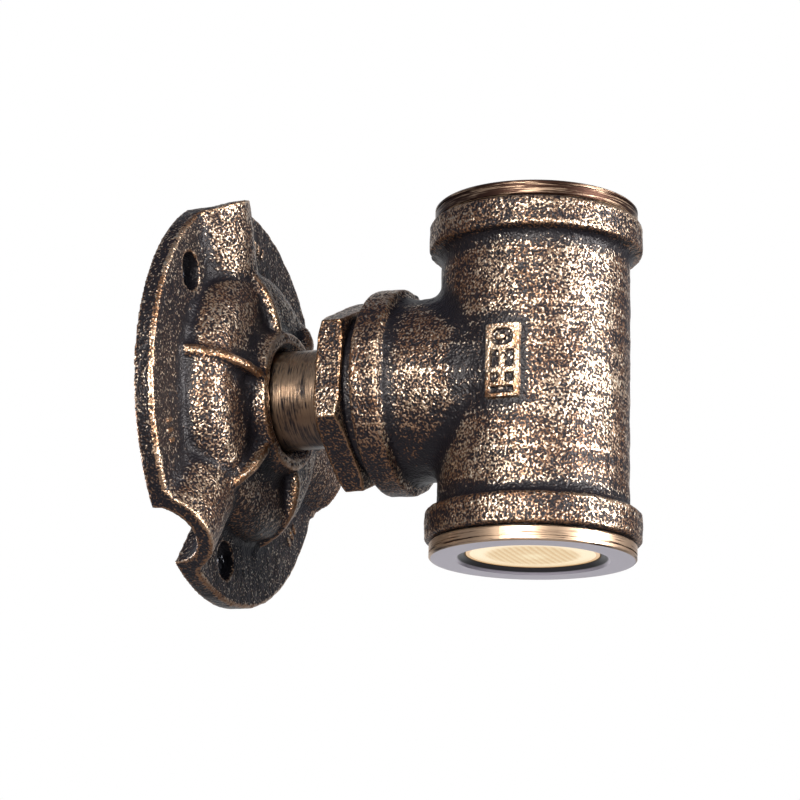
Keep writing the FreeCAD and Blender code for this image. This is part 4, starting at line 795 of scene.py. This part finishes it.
# Each inner finish: its colour, roughness and metallic share, and the nodes that have it.
INNER_FINISHES = {
    "machined_aluminium": ("#c3c5c8", 0.38, 1.0, ["lower_heat_sink", "upper_heat_sink"]),
    "white_solder_mask": ("#e9e8e2", 0.4, 0.0, ["lower_light_board", "upper_light_board"]),
    "yellow_phosphor": ("#f2d65c", 0.5, 0.0, ["lower_light_source", "upper_light_source"]),
    "zinc_plated_steel": ("#a9adb3", 0.3, 1.0,
                          ["lower_board_screws", "upper_board_screws", "terminal_fixing_screw"]),
    "plain_brass": ("#c9a45a", 0.3, 1.0, ["terminal_screws", "earth_screw", "earth_lug"]),
    "moulded_nylon_white": ("#e2dfd4", 0.5, 0.0, ["terminal_block", "driver_input_terminal"]),
    "grey_pvc_jacket": ("#56575a", 0.55, 0.0,
                        ["supply_cable", "lower_light_leads", "upper_light_leads"]),
    "black_pvc_core": ("#1a1a1b", 0.5, 0.0, ["live_core"]),
    "white_pvc_core": ("#e6e5e0", 0.5, 0.0, ["neutral_core"]),
    "green_pvc_core": ("#2c7a3c", 0.5, 0.0, ["earth_lead"]),
    "moulded_dark_case": ("#2b2b2e", 0.5, 0.0, ["driver_case", "driver_cover"]),
    "green_solder_mask": ("#1f6b35", 0.4, 0.0, ["driver_board"]),
    "yellow_winding_tape": ("#d9b23f", 0.45, 0.0, ["driver_transformer"]),
    "shrunk_sleeve": ("#1c1f2b", 0.3, 0.0, ["driver_capacitor"]),
    "enamelled_copper_winding": ("#8f4d22", 0.35, 0.6, ["driver_choke"]),
}


class WALLLIGHT_OT_inner_pieces(bpy.types.Operator):
    """Finish the pieces inside the flange and the tee"""
    bl_idname = "wall_light.inner_pieces"
    bl_label = "Inner Pieces"

    def execute(self, context):
        for name, (code, rough, metallic, nodes) in INNER_FINISHES.items():
            material = moulded(name, code, rough, metallic)
            for node in nodes:
                coated(NODES[node], material)
        return {"FINISHED"}


def in_front(right, up, back):
    """A lamp's place round the object, from shares of the camera's own directions."""
    way = right * Vector(CAMERA_RIGHT) + up * Vector(CAMERA_UP) + back * Vector(CAMERA_BACK)
    return (Vector((0.0, AIM_DEPTH, 0.0)) + way.normalized() * LAMP_DISTANCE) * MM


def soft_light(name, place, size, energy, tint):
    """A square lamp that faces the object; its size is in millimetres and its tint a hex colour."""
    data = bpy.data.lights.new(name, "AREA")
    data.shape, data.size, data.spread = "SQUARE", size * MM, LAMP_SPREAD
    data.energy, data.color = energy, linear(tint)
    lamp = bpy.data.objects.new(name, data)
    bpy.context.scene.collection.objects.link(lamp)
    lamp.location = place
    lamp.rotation_mode = "QUATERNION"
    lamp.rotation_quaternion = (Vector((0.0, AIM_DEPTH * MM, 0.0)) - place).to_track_quat("-Z", "Y")


def studio_floor(colour_near, backdrop):
    """Matt pale floor that turns into the backdrop further out, as a paper sweep does.

    The camera sees it glow all round, weakly near the object and fully far off. Metal and glass
    see it glow only behind the object.
    """
    material, tree = new_material("matt_paper_sweep")
    place = add(tree, "TexCoord", out="Object")
    rays = add(tree, "LightPath").node.outputs
    flat = add(tree, "VectorMath", {0: place, 1: (1.0, 1.0, 0.0)}, operation="MULTIPLY")
    away = add(tree, "VectorMath", {0: flat}, out="Value", operation="LENGTH")
    far = add(tree, "MapRange", {"Value": away, "From Min": FLOOR_SWEEP[0],
                                 "From Max": FLOOR_SWEEP[1]}, interpolation_type="SMOOTHSTEP")
    ahead = add(tree, "VectorMath", {0: flat, 1: CAMERA_BACK}, out="Value",
                operation="DOT_PRODUCT")
    behind = add(tree, "MapRange", {"Value": ahead, "From Min": FLOOR_BEHIND[0],
                                    "From Max": FLOOR_BEHIND[1], "To Min": 1.0, "To Max": 0.0},
                 interpolation_type="SMOOTHSTEP")
    glossy = add(tree, "Math", {0: rays["Is Glossy Ray"], 1: rays["Is Transmission Ray"]},
                 operation="MAXIMUM")
    mirrored = add(tree, "Math", {0: glossy, 1: behind}, operation="MULTIPLY")
    near = add(tree, "Math", {0: far, 1: 1.0 - FLOOR_GLOW, 2: FLOOR_GLOW},
               operation="MULTIPLY_ADD")
    seen = add(tree, "Math", {0: rays["Is Camera Ray"], 1: near, 2: mirrored},
               operation="MULTIPLY_ADD")
    surfaced(tree, {
        "Base Color": add(tree, "Mix", {0: far, 6: colour_near, 7: (0.0, 0.0, 0.0)}, out=2,
                          data_type="RGBA"),
        "Roughness": 0.9,
        "Specular IOR Level": 0.0,
        "Emission Color": backdrop,
        "Emission Strength": seen,
    })
    return material


def studio_world(backdrop, studio):
    """The room: for the camera the backdrop all round, for the object a dim studio.

    The object sees the backdrop only behind itself.
    """
    world = bpy.data.worlds.new("studio")
    bpy.context.scene.world = world
    world.use_nodes = True
    tree = world.node_tree
    tree.nodes.clear()
    way = add(tree, "TexCoord", out="Generated")
    ahead = add(tree, "VectorMath", {0: way, 1: CAMERA_BACK}, out="Value",
                operation="DOT_PRODUCT")
    seen = add(tree, "LightPath", out="Is Camera Ray")
    behind = add(tree, "MapRange", {"Value": ahead, "From Min": WHITE_CONE[0],
                                    "From Max": WHITE_CONE[1], "To Min": 1.0, "To Max": 0.0},
                 interpolation_type="SMOOTHSTEP")
    pale = add(tree, "Math", {0: seen, 1: behind}, operation="MAXIMUM")
    dim = [part * STUDIO_SHARE for part in studio]
    light = add(tree, "Mix", {0: pale, 6: dim, 7: backdrop}, out=2, data_type="RGBA")
    background = add(tree, "Background", {"Color": light, "Strength": 1.0})
    add(tree, "OutputWorld", {"Surface": background}, out=None)


class WALLLIGHT_OT_stage(bpy.types.Operator):
    """Set up the floor, the lights, the backdrop and the camera"""
    bl_idname = "wall_light.stage"
    bl_label = "Stage"

    def execute(self, context):
        stage = context.scene.wall_light_stage
        bpy.ops.mesh.primitive_plane_add(size=FLOOR_SIZE, location=(0, 0, FLOOR_HEIGHT * MM))
        floor = context.object
        floor.name = "floor"
        coated(floor, studio_floor(stage.floor, stage.backdrop))
        soft_light("key_light", in_front(0.94, 0.2, 0.4), 360, stage.key_power, "#fffaf4")
        soft_light("front_light", in_front(-0.3, 0.3, 1.0), 300, stage.front_power, "#fff8ee")
        soft_light("back_light", Vector((0.0, 0.9, 0.0)), 200, stage.back_power, "#f4f6ff")
        studio_world(stage.backdrop, stage.studio)
        data = bpy.data.cameras.new("camera")
        data.lens, data.sensor_width = CAMERA_LENS, SENSOR_WIDTH
        data.clip_start, data.clip_end = CAMERA_CLIP
        camera = bpy.data.objects.new("camera", data)
        context.scene.collection.objects.link(camera)
        axes = Matrix((CAMERA_RIGHT, CAMERA_UP, CAMERA_BACK)).transposed().to_4x4()
        camera.matrix_world = Matrix.Translation(Vector(CAMERA_PLACE) * MM) @ axes
        context.scene.camera = camera
        context.scene.view_settings.view_transform = "Standard"
        return {"FINISHED"}


OPERATORS = (WALLLIGHT_OT_flange, WALLLIGHT_OT_pipework, WALLLIGHT_OT_tee, WALLLIGHT_OT_lamps,
             WALLLIGHT_OT_inner_pieces, WALLLIGHT_OT_stage)


class WALLLIGHT_PT_panel(bpy.types.Panel):
    """Sidebar panel with the pieces and the settings"""
    bl_idname = "WALLLIGHT_PT_panel"
    bl_label = "Wall Light"
    bl_space_type = "VIEW_3D"
    bl_region_type = "UI"
    bl_category = "Wall Light"

    def draw(self, context):
        layout = self.layout
        for group in (context.scene.wall_light_castings, context.scene.wall_light_finish,
                      context.scene.wall_light_stage):
            box = layout.box()
            for name in group.__annotations__:
                box.prop(group, name)
        for operator in OPERATORS:
            layout.operator(operator.bl_idname)


GROUPS = {"wall_light_castings": WALLLIGHT_PG_castings, "wall_light_finish": WALLLIGHT_PG_finish,
          "wall_light_stage": WALLLIGHT_PG_stage}


def register():
    for item in (*GROUPS.values(), *OPERATORS, WALLLIGHT_PT_panel):
        bpy.utils.register_class(item)
    for name, group in GROUPS.items():
        setattr(bpy.types.Scene, name, bpy.props.PointerProperty(type=group))


def unregister():
    for name in GROUPS:
        delattr(bpy.types.Scene, name)
    for item in (WALLLIGHT_PT_panel, *reversed(OPERATORS), *reversed(list(GROUPS.values()))):
        bpy.utils.unregister_class(item)


def main():
    """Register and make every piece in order."""
    register()
    for operator in OPERATORS:
        group, name = operator.bl_idname.split(".")
        getattr(getattr(bpy.ops, group), name)()


if __name__ == "__main__":
    main()
